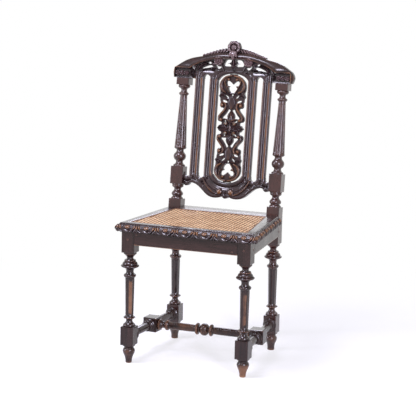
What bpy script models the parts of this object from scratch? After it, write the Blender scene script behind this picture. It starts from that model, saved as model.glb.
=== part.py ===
"""Carved wooden dining chair with a caned seat and a raked, pierced back.

Run with blender --background --python part.py, or from Blender's text editor. Units are metres.
+X is the sitter's left, -Y is the front and +Z is up. The origin is on the floor, under the middle of
the chair's bounding box.

Every wooden piece is a separate closed solid. Square tenons, round tenons and pegs go into mortises
and holes that are cut from the same values, with one clearance between them.
"""

import math

import bmesh
import bpy
from mathutils import Matrix, Vector

# Clearance between pieces that touch.
GAP = 0.0003

# Seat and leg plan.
SEAT_HEIGHT = 0.460
FRONT_LEG_SPACING = 0.389
REAR_LEG_SPACING = 0.3466
LEG_DEPTH = 0.3374
BLOCK_SIDE = 0.043
BLOCK_CHAMFER = 0.0025
REAR_FOOT_KICK = 0.0069
BACK_RAKE = math.radians(7.23)
SIDES = 16
CROSS_SIDES = 12

# Leg stages: the foot, the stretcher block, the turned shaft between the blocks, and the seat block.
FOOT_HEIGHT = 0.060
STRETCHER_BLOCK_HEIGHT = 0.0605
LOWER_TURNING_LENGTH = 0.0365
UPPER_TURNING_LENGTH = 0.0860
SEAT_BLOCK_DROP = 0.027
KICK_DROP = 0.045

# Turnings, as (distance from the block next to them, radius). Each is stretched to its stage's length.
FOOT_TURNING = (
    (0.0040, 0.0175), (0.0072, 0.0150), (0.0102, 0.0154), (0.0145, 0.0184), (0.0210, 0.0198),
    (0.0290, 0.0178), (0.0380, 0.0136), (0.0450, 0.0114), (0.0600, 0.0100),
)
FRONT_FOOT_TIP = 0.0097
REAR_FOOT_TIP = 0.0118
LOWER_TURNING = (
    (0.0015, 0.0185), (0.0045, 0.0197), (0.0085, 0.0176), (0.0140, 0.0118), (0.0195, 0.0100),
    (0.0245, 0.0122), (0.0291, 0.0190), (0.0325, 0.0162), (0.0365, 0.0123),
)
UPPER_TURNING = (
    (0.0030, 0.0198), (0.0085, 0.0172), (0.0140, 0.0118), (0.0195, 0.0104), (0.0235, 0.0128),
    (0.0265, 0.0176), (0.0310, 0.0196), (0.0380, 0.0238), (0.0420, 0.0276), (0.0445, 0.0290),
    (0.0480, 0.0252), (0.0540, 0.0142), (0.0600, 0.0120), (0.0670, 0.0124), (0.0718, 0.0160),
    (0.0748, 0.0195), (0.0790, 0.0165), (0.0860, 0.0142),
)

# Back stile stages, up the rake from the seat's top: seat block, baluster, back block, baluster, column
# and cap block.
REAR_SEAT_BLOCK_RISE = 0.0255
SEAT_BALUSTER_LENGTH = 0.0495
BACK_BLOCK_HEIGHT = 0.059
BACK_BALUSTER_LENGTH = 0.066
COLUMN_LENGTH = 0.165
COLUMN_TURNING_LENGTH = 0.042
CAP_BLOCK_HEIGHT = 0.023
SEAT_BALUSTER = (
    (0.0045, 0.0185), (0.0085, 0.0150), (0.0120, 0.0162), (0.0165, 0.0192), (0.0225, 0.0168),
    (0.0280, 0.0122), (0.0320, 0.0114), (0.0365, 0.0140), (0.0400, 0.0182), (0.0455, 0.0190),
    (0.0495, 0.0170),
)
BACK_BALUSTER = (
    (0.0040, 0.0198), (0.0080, 0.0176), (0.0120, 0.0128), (0.0165, 0.0118), (0.0220, 0.0150),
    (0.0280, 0.0196), (0.0345, 0.0208), (0.0410, 0.0188), (0.0480, 0.0132), (0.0540, 0.0118),
    (0.0590, 0.0148), (0.0625, 0.0196), (0.0660, 0.0198),
)
COLUMN_TURNING = (
    (0.0020, 0.0196), (0.0060, 0.0188), (0.0110, 0.0130), (0.0170, 0.0100), (0.0230, 0.0112),
    (0.0290, 0.0162), (0.0345, 0.0128), (0.0420, 0.0115),
)

# Joinery of the seat frame and of the stretchers.
SEAT_RAIL_HEIGHT = 0.043
SEAT_RAIL_THICKNESS = 0.022
REAR_RAIL_SETBACK = 0.008
CROSS_TENON_LENGTH = 0.029
SIDE_TENON_LENGTH = 0.022
SEAT_TENON_THICKNESS = 0.008
SEAT_TENON_SHOULDER = 0.007
PEG_RADIUS = 0.0032
PEG_LENGTH = 0.022
PEG_RISE = 0.0165
PEG_PROUD = 0.0006
PEG_SIDES = 8
# The two pegs of the front rail, as (distance from the leg, height above the rail's bottom).
RAIL_PEG_RIGHT = (0.0065, 0.0335)
RAIL_PEG_LEFT = (0.0170, 0.0090)
ROUND_TENON_RADIUS = 0.008
ROUND_TENON_LENGTH = 0.013
CORNER_BLOCK_REACH = 0.038
CORNER_BLOCK_HEIGHT = 0.036

# Stretchers. The profiles are (distance from the shoulder or from the middle, radius).
CENTRE_BLOCK_SIDE = 0.042
CENTRE_BLOCK_LENGTH = 0.042
SIDE_END_TURNING = (
    (0.0000, 0.0190), (0.0050, 0.0206), (0.0110, 0.0196), (0.0190, 0.0150), (0.0270, 0.0116),
    (0.0340, 0.0112), (0.0380, 0.0124),
)
SIDE_CENTRE_TURNING = (
    (0.0000, 0.0180), (0.0040, 0.0186), (0.0080, 0.0160), (0.0120, 0.0118), (0.0160, 0.0122),
    (0.0195, 0.0158), (0.0230, 0.0140), (0.0270, 0.0130),
)
CROSS_CENTRE_TURNING = (
    (0.0000, 0.0185), (0.0060, 0.0176), (0.0120, 0.0140), (0.0175, 0.0102), (0.0220, 0.0118),
    (0.0255, 0.0176), (0.0290, 0.0186), (0.0330, 0.0160), (0.0380, 0.0118), (0.0440, 0.0118),
    (0.0600, 0.0134), (0.0800, 0.0140),
)
CROSS_END_TURNING = (
    (0.0000, 0.0176), (0.0050, 0.0180), (0.0105, 0.0140), (0.0165, 0.0108), (0.0225, 0.0112),
    (0.0275, 0.0162), (0.0315, 0.0172), (0.0355, 0.0140), (0.0410, 0.0120),
)

# Seat frame: how its top overhangs the legs' blocks (or falls short, if negative), and its boards' widths.
SEAT_FRAME_THICKNESS = 0.027
SEAT_FRONT_SIDE_OVERHANG = 0.0045
SEAT_REAR_SIDE_OVERHANG = -0.0038
SEAT_FRONT_OVERHANG = -0.0050
SEAT_REAR_OVERHANG = 0.0011
FRONT_BOARD_WIDTH = 0.0195
REAR_BOARD_WIDTH = 0.0670
SIDE_BOARD_FRONT_WIDTH = 0.0235
SIDE_BOARD_REAR_WIDTH = 0.0300
CANE_LEDGE = 0.007
CANE_LEDGE_DROP = 0.0045
CANE_THICKNESS = 0.0022
CANE_SAG = 0.0012
CANE_STEPS = 8
BINDING_WIDTH = 0.0045
# The carved edge, as (overhang past the top's edge, drop below the top), stretched to the frame's thickness.
EDGE_MOULDING = (
    (0.0000, 0.0000), (0.0022, 0.0012), (0.0028, 0.0048), (0.0062, 0.0066), (0.0104, 0.0092),
    (0.0130, 0.0122), (0.0128, 0.0152), (0.0102, 0.0200), (0.0066, 0.0245), (0.0050, 0.0270),
)

# Depths in the raked back, behind (+) and in front of (-) the stiles' axes.
BAR_FRONT = -0.0100
BAR_BACK = 0.0080
BACK_RAIL_FRONT = -0.0130
BACK_RAIL_BACK = 0.0100
SPLAT_FRONT = -0.0095
SPLAT_BACK = 0.0065
FRET_FRONT = -0.0130
FRET_BACK = 0.0050
HOOD_BACK = 0.0060
HOOD_TOP_FRONT = -0.0150
HOOD_LIP_FRONT = -0.0255
FRIEZE_FRONT = -0.0200
FRIEZE_BACK = 0.0140
CARTOUCHE_FRONT = -0.0310
CARTOUCHE_BACK = 0.0040
SPRAY_FRONT = -0.0120
SPRAY_BACK = 0.0050

# Bars and openings across the back.
BAR_WIDTH = 0.0295
BAR_GROOVE = 0.0050
BAR_TENON_WIDTH = 0.018
BAR_TENON_THICKNESS = 0.010
BAR_TENON_LENGTH = 0.010
SLOT_WIDTH = 0.0215
END_GAP_WIDTH = 0.01855
END_GAP_HORN = 0.0025
ARCH_STEPS = 8

# Lower rail, above the bottom of the stiles' back blocks.
LOWER_SHOULDER_RISE = 0.041
SLOT_BOTTOM_RISE = 0.0265
END_GAP_BOTTOM_RISE = 0.028
OPENING_BOTTOM_RISE = 0.016
OPENING_BOTTOM_CURVE = 0.037
BACK_TENON_LENGTH = 0.014
BACK_TENON_RISE = 0.009
BACK_TENON_HEIGHT = 0.028
# Right half of its bottom edge, as (across, up), stretched to end this far from the stile.
LOWER_RAIL_EDGE = (
    (0.1490, 0.0015), (0.1440, -0.0025), (0.1380, -0.0028), (0.1325, 0.0010), (0.1290, 0.0062),
    (0.1220, 0.0082), (0.1110, 0.0060), (0.1000, 0.0007), (0.0900, -0.0068), (0.0800, -0.0155),
    (0.0700, -0.0245), (0.0600, -0.0310), (0.0500, -0.0347), (0.0360, -0.0362), (0.0220, -0.0342),
    (0.0120, -0.0305), (0.0062, -0.0350), (0.0000, -0.0368),
)
LOWER_RAIL_EDGE_END = 0.0028

# Upper rail and crest, above the top of the stiles' cap blocks.
UPPER_SHOULDER_RISE = 0.001
SLOT_TOP_RISE = 0.016
OPENING_TOP_RISE = 0.023
OPENING_TOP_CURVE = 0.028
UPPER_RAIL_RISE = 0.031
UPPER_RAIL_END_FALL = 0.006
FRIEZE_TENON_LENGTH = 0.008
FRIEZE_TENON_RISE = 0.008
FRIEZE_TENON_HEIGHT = 0.012
FRIEZE_HEIGHT = 0.033
FRIEZE_INNER_REACH = 0.0333
FRIEZE_OUTER_REACH = 0.0282
FLORET_RADIUS = 0.0085
FLORET_RELIEF = 0.0035
FLORET_COUNT = 3
STILE_TENON_RADIUS = 0.009
STILE_TENON_LENGTH = 0.016
# Right half of the hood's arch, as (across, outer edge up, inner edge up), stretched to end at the
# frieze block.
HOOD_ARCH = (
    (0.0000, 0.0920, 0.0705), (0.0250, 0.0915, 0.0705), (0.0500, 0.0895, 0.0692), (0.0700, 0.0855, 0.0660),
    (0.0900, 0.0805, 0.0610), (0.1100, 0.0760, 0.0545), (0.1250, 0.0730, 0.0480), (0.1400, 0.0698, 0.0405),
)
# Its outer edge above the frieze block, from the block's inner end, stretched to end at the outer end.
HOOD_SHOULDER = ((0.0100, 0.0670), (0.0300, 0.0588), (0.0480, 0.0478), (0.0615, 0.0388))
# Its outer edge past the block's outer end.
HOOD_END = ((0.0020, 0.0368), (0.0075, 0.0280), (0.0097, 0.0160), (0.0045, 0.0010))
HOOD_FILLET = 0.0040
HOOD_LIP = 0.0035
# Where the hood is narrow, its fillet and its lip each take at most this share of its width.
HOOD_EDGE_SHARE = 0.4
# Piercings of the right half of the fretwork under the hood, as (across, up), stretched with the hood.
FRET_PIERCINGS = (
    ((0.0085, 0.0675), (0.0250, 0.0675), (0.0315, 0.0600), (0.0345, 0.0530), (0.0300, 0.0470),
     (0.0095, 0.0470), (0.0110, 0.0530), (0.0200, 0.0568), (0.0115, 0.0600)),
    ((0.0430, 0.0435), (0.0500, 0.0372), (0.0570, 0.0390), (0.0645, 0.0490), (0.0610, 0.0500),
     (0.0545, 0.0442)),
    ((0.0790, 0.0540), (0.0850, 0.0585), (0.0915, 0.0555), (0.0860, 0.0515)),
    ((0.0760, 0.0415), (0.0770, 0.0465), (0.0860, 0.0465), (0.1000, 0.0420), (0.1140, 0.0345),
     (0.0980, 0.0365)),
)
ROSETTE_OFFSET = 0.052
ROSETTE_RISE = 0.0545
ROSETTE_RADIUS = 0.0125
ROSETTE_RELIEF = 0.0055
CARTOUCHE_RISE = 0.0165
CARTOUCHE_RADIUS = 0.0212
CARTOUCHE_SIDES = 24
# The cartouche's rounded face, as (depth behind its front, share of its radius).
CARTOUCHE_DOME = ((0.000, 0.62), (0.003, 0.85), (0.008, 1.00))
HUSK_HALF_WIDTH = 0.0075
HUSK_LENGTH = 0.0240
HUSK_THICKNESS = 0.0050
SPRAY_START = 0.0040
SPRAY_LENGTH = 0.0850
SPRAY_INNER_RISE = 0.0140
SPRAY_OUTER_RISE = 0.0040
SPRAY_TEETH = 7
SPRAY_TOOTH = 0.0030

# Centre splat, drawn as its upper right quarter from its middle, as (across, up), and stretched to its
# opening.
SPLAT_SIDE_SPACE = 0.00625
SPLAT_TAB_HALF = 0.013
SPLAT_TENON_HALF = 0.008
SPLAT_TENON_LENGTH = 0.005
SPLAT_TAB_LENGTH = 0.004
SPLAT_EDGE = (
    (0.0130, 0.1770), (0.0200, 0.1755), (0.0300, 0.1695), (0.0380, 0.1610), (0.0435, 0.1520),
    (0.0460, 0.1400), (0.0452, 0.1280), (0.0425, 0.1200), (0.0430, 0.1130), (0.0462, 0.1055),
    (0.0425, 0.1000), (0.0418, 0.0920), (0.0400, 0.0860), (0.0412, 0.0800), (0.0405, 0.0720),
    (0.0360, 0.0675), (0.0300, 0.0672), (0.0278, 0.0630), (0.0320, 0.0560), (0.0385, 0.0485),
    (0.0442, 0.0410), (0.0465, 0.0340), (0.0460, 0.0275), (0.0425, 0.0225), (0.0360, 0.0205),
    (0.0318, 0.0180), (0.0330, 0.0125), (0.0385, 0.0102), (0.0410, 0.0060), (0.0465, 0.0000),
)
SPLAT_RING_OPENING = (
    (0.0000, 0.1470), (0.0045, 0.1515), (0.0100, 0.1555), (0.0165, 0.1580), (0.0212, 0.1560),
    (0.0222, 0.1490), (0.0190, 0.1430), (0.0122, 0.1402), (0.0152, 0.1350), (0.0140, 0.1290),
    (0.0102, 0.1230), (0.0050, 0.1190), (0.0000, 0.1180),
)
SPLAT_BUD_OPENING = (
    (0.0030, 0.0590), (0.0080, 0.0635), (0.0120, 0.0610), (0.0155, 0.0540), (0.0210, 0.0455),
    (0.0265, 0.0390), (0.0295, 0.0350), (0.0262, 0.0312), (0.0220, 0.0322), (0.0190, 0.0328),
    (0.0130, 0.0318), (0.0122, 0.0345), (0.0132, 0.0400), (0.0108, 0.0475), (0.0062, 0.0540),
)
# Oval piercings of the splat, as (across, up, half length, half width, tilt).
SPLAT_OVALS = (
    (0.0180, 0.1055, 0.0085, 0.0024, math.radians(42)),
    (0.0250, 0.0895, 0.0092, 0.0034, math.radians(20)),
    (0.0172, 0.0205, 0.0092, 0.0026, math.radians(52)),
)
SPLAT_PIN_HOLE_UP = 0.1112
SPLAT_PIN_HOLE_RADIUS = 0.0032
OVAL_STEPS = 10

# Finishes.
DARK_WOOD = "3a2528"
WORN_WOOD = "5a3a2e"
PEG_WOOD = "6b4a38"
CANE_COLOUR = "b98f62"
BINDING_COLOUR = "6e4c33"
WOOD_ROUGHNESS = 0.38
CANE_ROUGHNESS = 0.62

# Values that follow from the ones above: the legs and the seat.
HALF_BLOCK = BLOCK_SIDE / 2
FRONT_X = FRONT_LEG_SPACING / 2
REAR_X = REAR_LEG_SPACING / 2
STILE_INNER = REAR_X - HALF_BLOCK
STRETCHER_BLOCK_TOP = FOOT_HEIGHT + STRETCHER_BLOCK_HEIGHT
STRETCHER_HEIGHT = FOOT_HEIGHT + STRETCHER_BLOCK_HEIGHT / 2
SEAT_FRAME_BOTTOM = SEAT_HEIGHT - SEAT_FRAME_THICKNESS
SEAT_RAIL_BOTTOM = SEAT_FRAME_BOTTOM - SEAT_RAIL_HEIGHT
SEAT_BLOCK_BOTTOM = SEAT_RAIL_BOTTOM - SEAT_BLOCK_DROP
KICK_TOP = SEAT_BLOCK_BOTTOM - KICK_DROP
PEG_HEIGHT = SEAT_RAIL_BOTTOM + PEG_RISE
SEAT_FRONT_HALF = FRONT_X + HALF_BLOCK + SEAT_FRONT_SIDE_OVERHANG
SEAT_REAR_HALF = REAR_X + HALF_BLOCK + SEAT_REAR_SIDE_OVERHANG
SEAT_FRONT_EDGE = -HALF_BLOCK - SEAT_FRONT_OVERHANG
SEAT_REAR_EDGE = LEG_DEPTH + HALF_BLOCK + SEAT_REAR_OVERHANG
CANE_FRONT_HALF = SEAT_FRONT_HALF - SIDE_BOARD_FRONT_WIDTH
CANE_REAR_HALF = SEAT_REAR_HALF - SIDE_BOARD_REAR_WIDTH
CANE_FRONT_EDGE = SEAT_FRONT_EDGE + FRONT_BOARD_WIDTH
CANE_REAR_EDGE = SEAT_REAR_EDGE - REAR_BOARD_WIDTH
FRONT_LIP = SEAT_FRONT_EDGE - max(overhang for overhang, drop in EDGE_MOULDING)

# Values that follow: the back's places up the rake and across.
BACK_BLOCK_BOTTOM = REAR_SEAT_BLOCK_RISE + SEAT_BALUSTER_LENGTH
BACK_BLOCK_TOP = BACK_BLOCK_BOTTOM + BACK_BLOCK_HEIGHT
COLUMN_BOTTOM = BACK_BLOCK_TOP + BACK_BALUSTER_LENGTH
CAP_BLOCK_BOTTOM = COLUMN_BOTTOM + COLUMN_LENGTH + COLUMN_TURNING_LENGTH
CREST_BASE = CAP_BLOCK_BOTTOM + CAP_BLOCK_HEIGHT
LOWER_SHOULDER = BACK_BLOCK_BOTTOM + LOWER_SHOULDER_RISE
OPENING_BOTTOM = BACK_BLOCK_BOTTOM + OPENING_BOTTOM_RISE
BACK_TENON_BOTTOM = BACK_BLOCK_BOTTOM + BACK_TENON_RISE
BACK_TENON_TOP = BACK_TENON_BOTTOM + BACK_TENON_HEIGHT
UPPER_SHOULDER = CREST_BASE + UPPER_SHOULDER_RISE
OPENING_TOP = CREST_BASE + OPENING_TOP_RISE
UPPER_RAIL_TOP = CREST_BASE + UPPER_RAIL_RISE
FRIEZE_TOP = CREST_BASE + FRIEZE_HEIGHT
FRIEZE_TENON_BOTTOM = CREST_BASE + FRIEZE_TENON_RISE
FRIEZE_TENON_TOP = FRIEZE_TENON_BOTTOM + FRIEZE_TENON_HEIGHT
FRIEZE_INNER = REAR_X - FRIEZE_INNER_REACH
FRIEZE_OUTER = REAR_X + FRIEZE_OUTER_REACH
OUTER_BAR_OFFSET = STILE_INNER - END_GAP_WIDTH - BAR_WIDTH / 2
INNER_BAR_OFFSET = OUTER_BAR_OFFSET - SLOT_WIDTH - BAR_WIDTH
OPENING_HALF = INNER_BAR_OFFSET - BAR_WIDTH / 2
SPLAT_HALF_WIDTH = OPENING_HALF - SPLAT_SIDE_SPACE
SPLAT_MIDDLE = (OPENING_BOTTOM + OPENING_TOP) / 2
CREST_STRETCH = FRIEZE_INNER / HOOD_ARCH[-1][0]
CREST_TOP = CREST_BASE + HOOD_ARCH[0][1]
CARTOUCHE_CENTRE = CREST_TOP + CARTOUCHE_RISE
# The openings' ends are curved, so the splat's tab meets them a little before their crown.
TAB_FALL = OPENING_BOTTOM_CURVE * (1 - math.sqrt(1 - (SPLAT_TAB_HALF / OPENING_HALF) ** 2))
SPLAT_HALF_HEIGHT = (OPENING_TOP - OPENING_BOTTOM) / 2 - TAB_FALL - GAP
SPLAT_DRAWN_HALF = SPLAT_EDGE[0][1] + SPLAT_TAB_LENGTH


def back_point(across, depth, up):
    """Returns the place of a point given across the back, behind the stiles' axes and up the rake."""
    turn = Matrix.Rotation(-BACK_RAKE, 3, "X")
    return turn @ Vector((across, depth, up)) + Vector((0, LEG_DEPTH, SEAT_HEIGHT))


# The chair reaches furthest back at the top of its cap blocks, its crest or its cartouche.
REAR_MOST = max(
    back_point(0, HALF_BLOCK, CREST_BASE - BLOCK_CHAMFER).y,
    back_point(0, FRIEZE_BACK, FRIEZE_TOP).y,
    back_point(0, HOOD_BACK, CREST_TOP).y,
    back_point(0, CARTOUCHE_BACK, CARTOUCHE_CENTRE + CARTOUCHE_RADIUS).y,
)
ORIGIN = Vector((0, (FRONT_LIP + REAR_MOST) / 2, 0))


def linear_colour(code):
    """Returns a hex sRGB colour as linear red, green, blue and alpha."""
    shares = [int(code[start:start + 2], 16) / 255 for start in (0, 2, 4)]
    return tuple(s / 12.92 if s <= 0.04045 else ((s + 0.055) / 1.055) ** 2.4 for s in shares) + (1.0,)


def finish(piece, code, roughness):
    """Gives a piece its own Principled material."""
    material = bpy.data.materials.new(piece.name)
    material.use_nodes = True
    shader = material.node_tree.nodes["Principled BSDF"]
    shader.inputs["Base Color"].default_value = linear_colour(code)
    shader.inputs["Roughness"].default_value = roughness
    shader.inputs["Metallic"].default_value = 0.0
    piece.data.materials.append(material)


def add_piece(name, mesh_builder, colour=DARK_WOOD, roughness=WOOD_ROUGHNESS, parent=None):
    """Turns a bmesh into a named object, with its faces pointing out, and frees the bmesh."""
    bmesh.ops.recalc_face_normals(mesh_builder, faces=mesh_builder.faces)
    mesh = bpy.data.meshes.new(name)
    mesh_builder.to_mesh(mesh)
    mesh_builder.free()
    mesh.shade_smooth()
    mesh.set_sharp_from_angle(angle=math.radians(35))
    piece = bpy.data.objects.new(name, mesh)
    bpy.context.collection.objects.link(piece)
    if parent is None:
        piece.location = -ORIGIN
    else:
        piece.parent = parent
    finish(piece, colour, roughness)
    return piece


def combine(piece, tool_builder, operation):
    """Cuts a bmesh out of a piece, or joins it on, with a Boolean whose tool stays hidden."""
    bmesh.ops.recalc_face_normals(tool_builder, faces=tool_builder.faces)
    label = f"{piece.name}_tool_{len(piece.modifiers)}"
    mesh = bpy.data.meshes.new(label)
    tool_builder.to_mesh(mesh)
    tool_builder.free()
    tool = bpy.data.objects.new(label, mesh)
    bpy.context.collection.objects.link(tool)
    tool.parent = piece.parent
    tool.location = piece.location
    tool.hide_render = True
    tool.display_type = "WIRE"
    modifier = piece.modifiers.new(label, "BOOLEAN")
    modifier.operation = operation
    modifier.solver = "EXACT"
    modifier.object = tool


def cut(piece, tool_builder):
    """Cuts a bmesh out of a piece."""
    combine(piece, tool_builder, "DIFFERENCE")


def join(piece, tool_builder):
    """Joins a bmesh onto a piece."""
    combine(piece, tool_builder, "UNION")


def loft(rings):
    """Returns a bmesh that skins equal rings of points and closes both ends."""
    builder = bmesh.new()
    loops = [[builder.verts.new(point) for point in ring] for ring in rings]
    for lower, upper in zip(loops, loops[1:]):
        for here in range(len(lower)):
            there = (here + 1) % len(lower)
            builder.faces.new((lower[here], lower[there], upper[there], upper[here]))
    builder.faces.new(reversed(loops[0]))
    builder.faces.new(loops[-1])
    return builder


def slab(outline, holes, start, finish, upright=True):
    """Returns a bmesh of an outline with piercings, given a thickness.

    Args:
        outline: points as (across, up) if upright, or as (x, y) for a level slab.
        holes: lists of such points.
        start: depth of the front face, or height of the bottom.
        finish: depth of the back face, or height of the top.
        upright: whether the outline stands up.
    """
    builder = bmesh.new()
    edges = []
    for loop in [outline, *holes]:
        places = [(x, start, y) if upright else (x, y, start) for x, y in loop]
        points = [builder.verts.new(place) for place in places]
        for here, point in enumerate(points):
            edges.append(builder.edges.new((point, points[(here + 1) % len(points)])))
    bmesh.ops.triangle_fill(builder, edges=edges, use_beauty=True)
    grown = bmesh.ops.extrude_face_region(builder, geom=builder.faces[:])
    moved = [item for item in grown["geom"] if isinstance(item, bmesh.types.BMVert)]
    shift = (0, finish - start, 0) if upright else (0, 0, finish - start)
    bmesh.ops.translate(builder, verts=moved, vec=shift)
    return builder


def box(low, high):
    """Returns a bmesh of a box between two corners."""
    corners = [(low[0], low[1]), (high[0], low[1]), (high[0], high[1]), (low[0], high[1])]
    return loft([[(x, y, z) for x, y in corners] for z in (low[2], high[2])])


def round_bar(start, end, radius, sides):
    """Returns a bmesh of a straight round bar between two points."""
    start, end = Vector(start), Vector(end)
    return loft([axis_ring(start, end, share, radius, sides) for share in (0.0, 1.0)])


def axis_ring(start, end, share, radius, sides, square=False):
    """Returns a ring round the line from start to end, at a share of the way along it."""
    along = (end - start).normalized()
    reference = Vector((0, 0, 1)) if abs(along.z) < 0.9 else Vector((0, -1, 0))
    across = along.cross(reference).normalized()
    upward = across.cross(along)
    centre = start.lerp(end, share)
    return [centre + across * x + upward * y for x, y in ring_offsets(radius, sides, square)]


def ring_offsets(radius, sides, square):
    """Returns the points of a circle, or of a square whose half side is the radius, at equal angles."""
    offsets = []
    for step in range(sides):
        angle = 2 * math.pi * step / sides
        reach = radius / max(abs(math.cos(angle)), abs(math.sin(angle))) if square else radius
        offsets.append((reach * math.cos(angle), reach * math.sin(angle)))
    return offsets


def block_sections(bottom, top, half=HALF_BLOCK):
    """Returns the sections of a square block with chamfered ends, as (height, radius, square)."""
    return [
        (bottom, half - BLOCK_CHAMFER, True),
        (bottom + BLOCK_CHAMFER, half, True),
        (top - BLOCK_CHAMFER, half, True),
        (top, half - BLOCK_CHAMFER, True),
    ]


def turning_sections(turning, start, length):
    """Returns a turning's sections in rising order, stretched to a length up (or down, if negative)."""
    stretch = length / turning[-1][0]
    sections = [(start + distance * stretch, radius, False) for distance, radius in turning]
    return sections if length > 0 else sections[::-1]


def leg_sections(foot_tip):
    """Returns the sections that the front and rear legs share, from the floor to the seat block."""
    sections = turning_sections(FOOT_TURNING, FOOT_HEIGHT, -FOOT_HEIGHT)
    sections[0] = (0.0, foot_tip, False)
    sections += block_sections(FOOT_HEIGHT, STRETCHER_BLOCK_TOP)
    sections += turning_sections(LOWER_TURNING, STRETCHER_BLOCK_TOP, LOWER_TURNING_LENGTH)
    sections += turning_sections(UPPER_TURNING, SEAT_BLOCK_BOTTOM, -UPPER_TURNING_LENGTH)
    return sections


def kick(height):
    """Returns how far a rear leg's axis lies behind its place at the seat, below the kick's top."""
    return REAR_FOOT_KICK * max(0.0, 1 - height / KICK_TOP)


def level_ring(x, y, height, radius, square):
    """Returns a level ring round a leg's axis."""
    return [Vector((x + a, y + b, height)) for a, b in ring_offsets(radius, SIDES, square)]


def raked_ring(x, up, radius, square):
    """Returns a ring round a stile's axis, square to the rake."""
    return [back_point(x + a, b, up) for a, b in ring_offsets(radius, SIDES, square)]


def front_leg(name, side):
    """Makes a front leg, from its turned foot to the seat frame."""
    top = SEAT_FRAME_BOTTOM - GAP
    sections = leg_sections(FRONT_FOOT_TIP)
    sections += block_sections(SEAT_BLOCK_BOTTOM, top)[:2]
    sections.append((top, HALF_BLOCK, True))
    leg = add_piece(name, loft([level_ring(side * FRONT_X, 0, *section) for section in sections]))
    cut_seat_joints(leg, side)
    cut_round_mortise(leg, *side_stretcher_line(side), HALF_BLOCK, Vector((0, 1, 0)))


def rear_stile(name, side):
    """Makes a rear stile: the leg below the seat and the raked, turned post of the back above it."""
    x = side * REAR_X
    rings = [
        level_ring(x, LEG_DEPTH + kick(section[0]), *section) for section in leg_sections(REAR_FOOT_TIP)
    ]
    seat_block = block_sections(SEAT_BLOCK_BOTTOM, SEAT_HEIGHT)[:2]
    rings += [level_ring(x, LEG_DEPTH, *section) for section in seat_block]
    rings.append([
        Vector((x + a, LEG_DEPTH + b, SEAT_HEIGHT - b * math.tan(BACK_RAKE / 2)))
        for a, b in ring_offsets(HALF_BLOCK, SIDES, True)
    ])
    upper = block_sections(0, REAR_SEAT_BLOCK_RISE)[2:]
    upper += turning_sections(SEAT_BALUSTER, REAR_SEAT_BLOCK_RISE, SEAT_BALUSTER_LENGTH)[:-1]
    upper += block_sections(BACK_BLOCK_BOTTOM, BACK_BLOCK_TOP)
    upper += turning_sections(BACK_BALUSTER, BACK_BLOCK_TOP, BACK_BALUSTER_LENGTH)
    upper += turning_sections(COLUMN_TURNING, CAP_BLOCK_BOTTOM, -COLUMN_TURNING_LENGTH)
    upper += block_sections(CAP_BLOCK_BOTTOM, CREST_BASE)
    upper.append((CREST_BASE, STILE_TENON_RADIUS, False))
    upper.append((CREST_BASE + STILE_TENON_LENGTH, STILE_TENON_RADIUS, False))
    rings += [raked_ring(x, *section) for section in upper]
    stile = add_piece(name, loft(rings))
    cut_seat_joints(stile, side)
    start, end = side_stretcher_line(side)
    cut_round_mortise(stile, end, start, HALF_BLOCK, Vector((0, -1, 0)))
    reach = sorted(side * x for x in (STILE_INNER - HALF_BLOCK, STILE_INNER + BACK_TENON_LENGTH + GAP))
    corners = [(reach[0], BACK_RAIL_FRONT - GAP), (reach[1], BACK_RAIL_FRONT - GAP),
               (reach[1], BACK_RAIL_BACK + GAP), (reach[0], BACK_RAIL_BACK + GAP)]
    heights = (BACK_TENON_BOTTOM - GAP, BACK_TENON_TOP + GAP)
    cut(stile, loft([[back_point(u, d, up) for u, d in corners] for up in heights]))


def cut_seat_joints(leg, side):
    """Cuts a leg's mortises for the seat rails, and the holes for the pegs through them."""
    for line in (side_rail_tenon(side), front_rail_tenon(), rear_rail_tenon()):
        cut(leg, tenon_solid(line, GAP))
    for start, end in seat_pegs().values():
        cut(leg, round_bar(start, start.lerp(end, 1 + GAP / PEG_LENGTH), PEG_RADIUS + GAP, PEG_SIDES))


def cut_round_mortise(piece, start, end, face, normal):
    """Cuts the hole for a stretcher's round tenon.

    Args:
        piece: what is cut.
        start: the tenon's line starts here, at the middle of the block.
        end: and runs towards this point.
        face: distance from the start to the block's face along the normal.
        normal: the face's outward normal.
    """
    along = (end - start).normalized()
    shoulder = start + along * (face / along.dot(normal))
    floor = shoulder - along * (ROUND_TENON_LENGTH + GAP)
    cut(piece, round_bar(floor, shoulder + along * ROUND_TENON_LENGTH, ROUND_TENON_RADIUS + GAP, SIDES))


def side_rail_edge(y):
    """Returns how far the side rails' outer faces lie from the middle at a depth, flush with the legs."""
    share = (y - HALF_BLOCK) / (LEG_DEPTH - BLOCK_SIDE)
    return FRONT_X + HALF_BLOCK + share * (REAR_X - FRONT_X)


def side_rail_tenon(side):
    """Returns the line along the middle of a side rail and its tenons, as two points."""
    ends = (HALF_BLOCK - SIDE_TENON_LENGTH, LEG_DEPTH - HALF_BLOCK + SIDE_TENON_LENGTH)
    return [Vector((side * (side_rail_edge(y) - SEAT_RAIL_THICKNESS / 2), y, 0)) for y in ends]


def front_rail_tenon():
    """Returns the line along the middle of the front rail and its tenons."""
    end = FRONT_X - HALF_BLOCK + CROSS_TENON_LENGTH
    return [Vector((x, SEAT_RAIL_THICKNESS / 2 - HALF_BLOCK, 0)) for x in (-end, end)]


def rear_rail_tenon():
    """Returns the line along the middle of the rear rail and its tenons."""
    end = STILE_INNER + CROSS_TENON_LENGTH
    return [Vector((x, LEG_DEPTH + REAR_RAIL_SETBACK, 0)) for x in (-end, end)]


def rail_ring(centre, half_width, bottom, top, lengthways):
    """Returns a rail's upright section, in a plane across X if lengthways is 0 or across Y if it is 1."""
    ring = []
    corners = ((-half_width, bottom), (half_width, bottom), (half_width, top), (-half_width, top))
    for width, height in corners:
        point = Vector((centre.x, centre.y, height))
        point[1 - lengthways] += width
        ring.append(point)
    return ring


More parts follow.
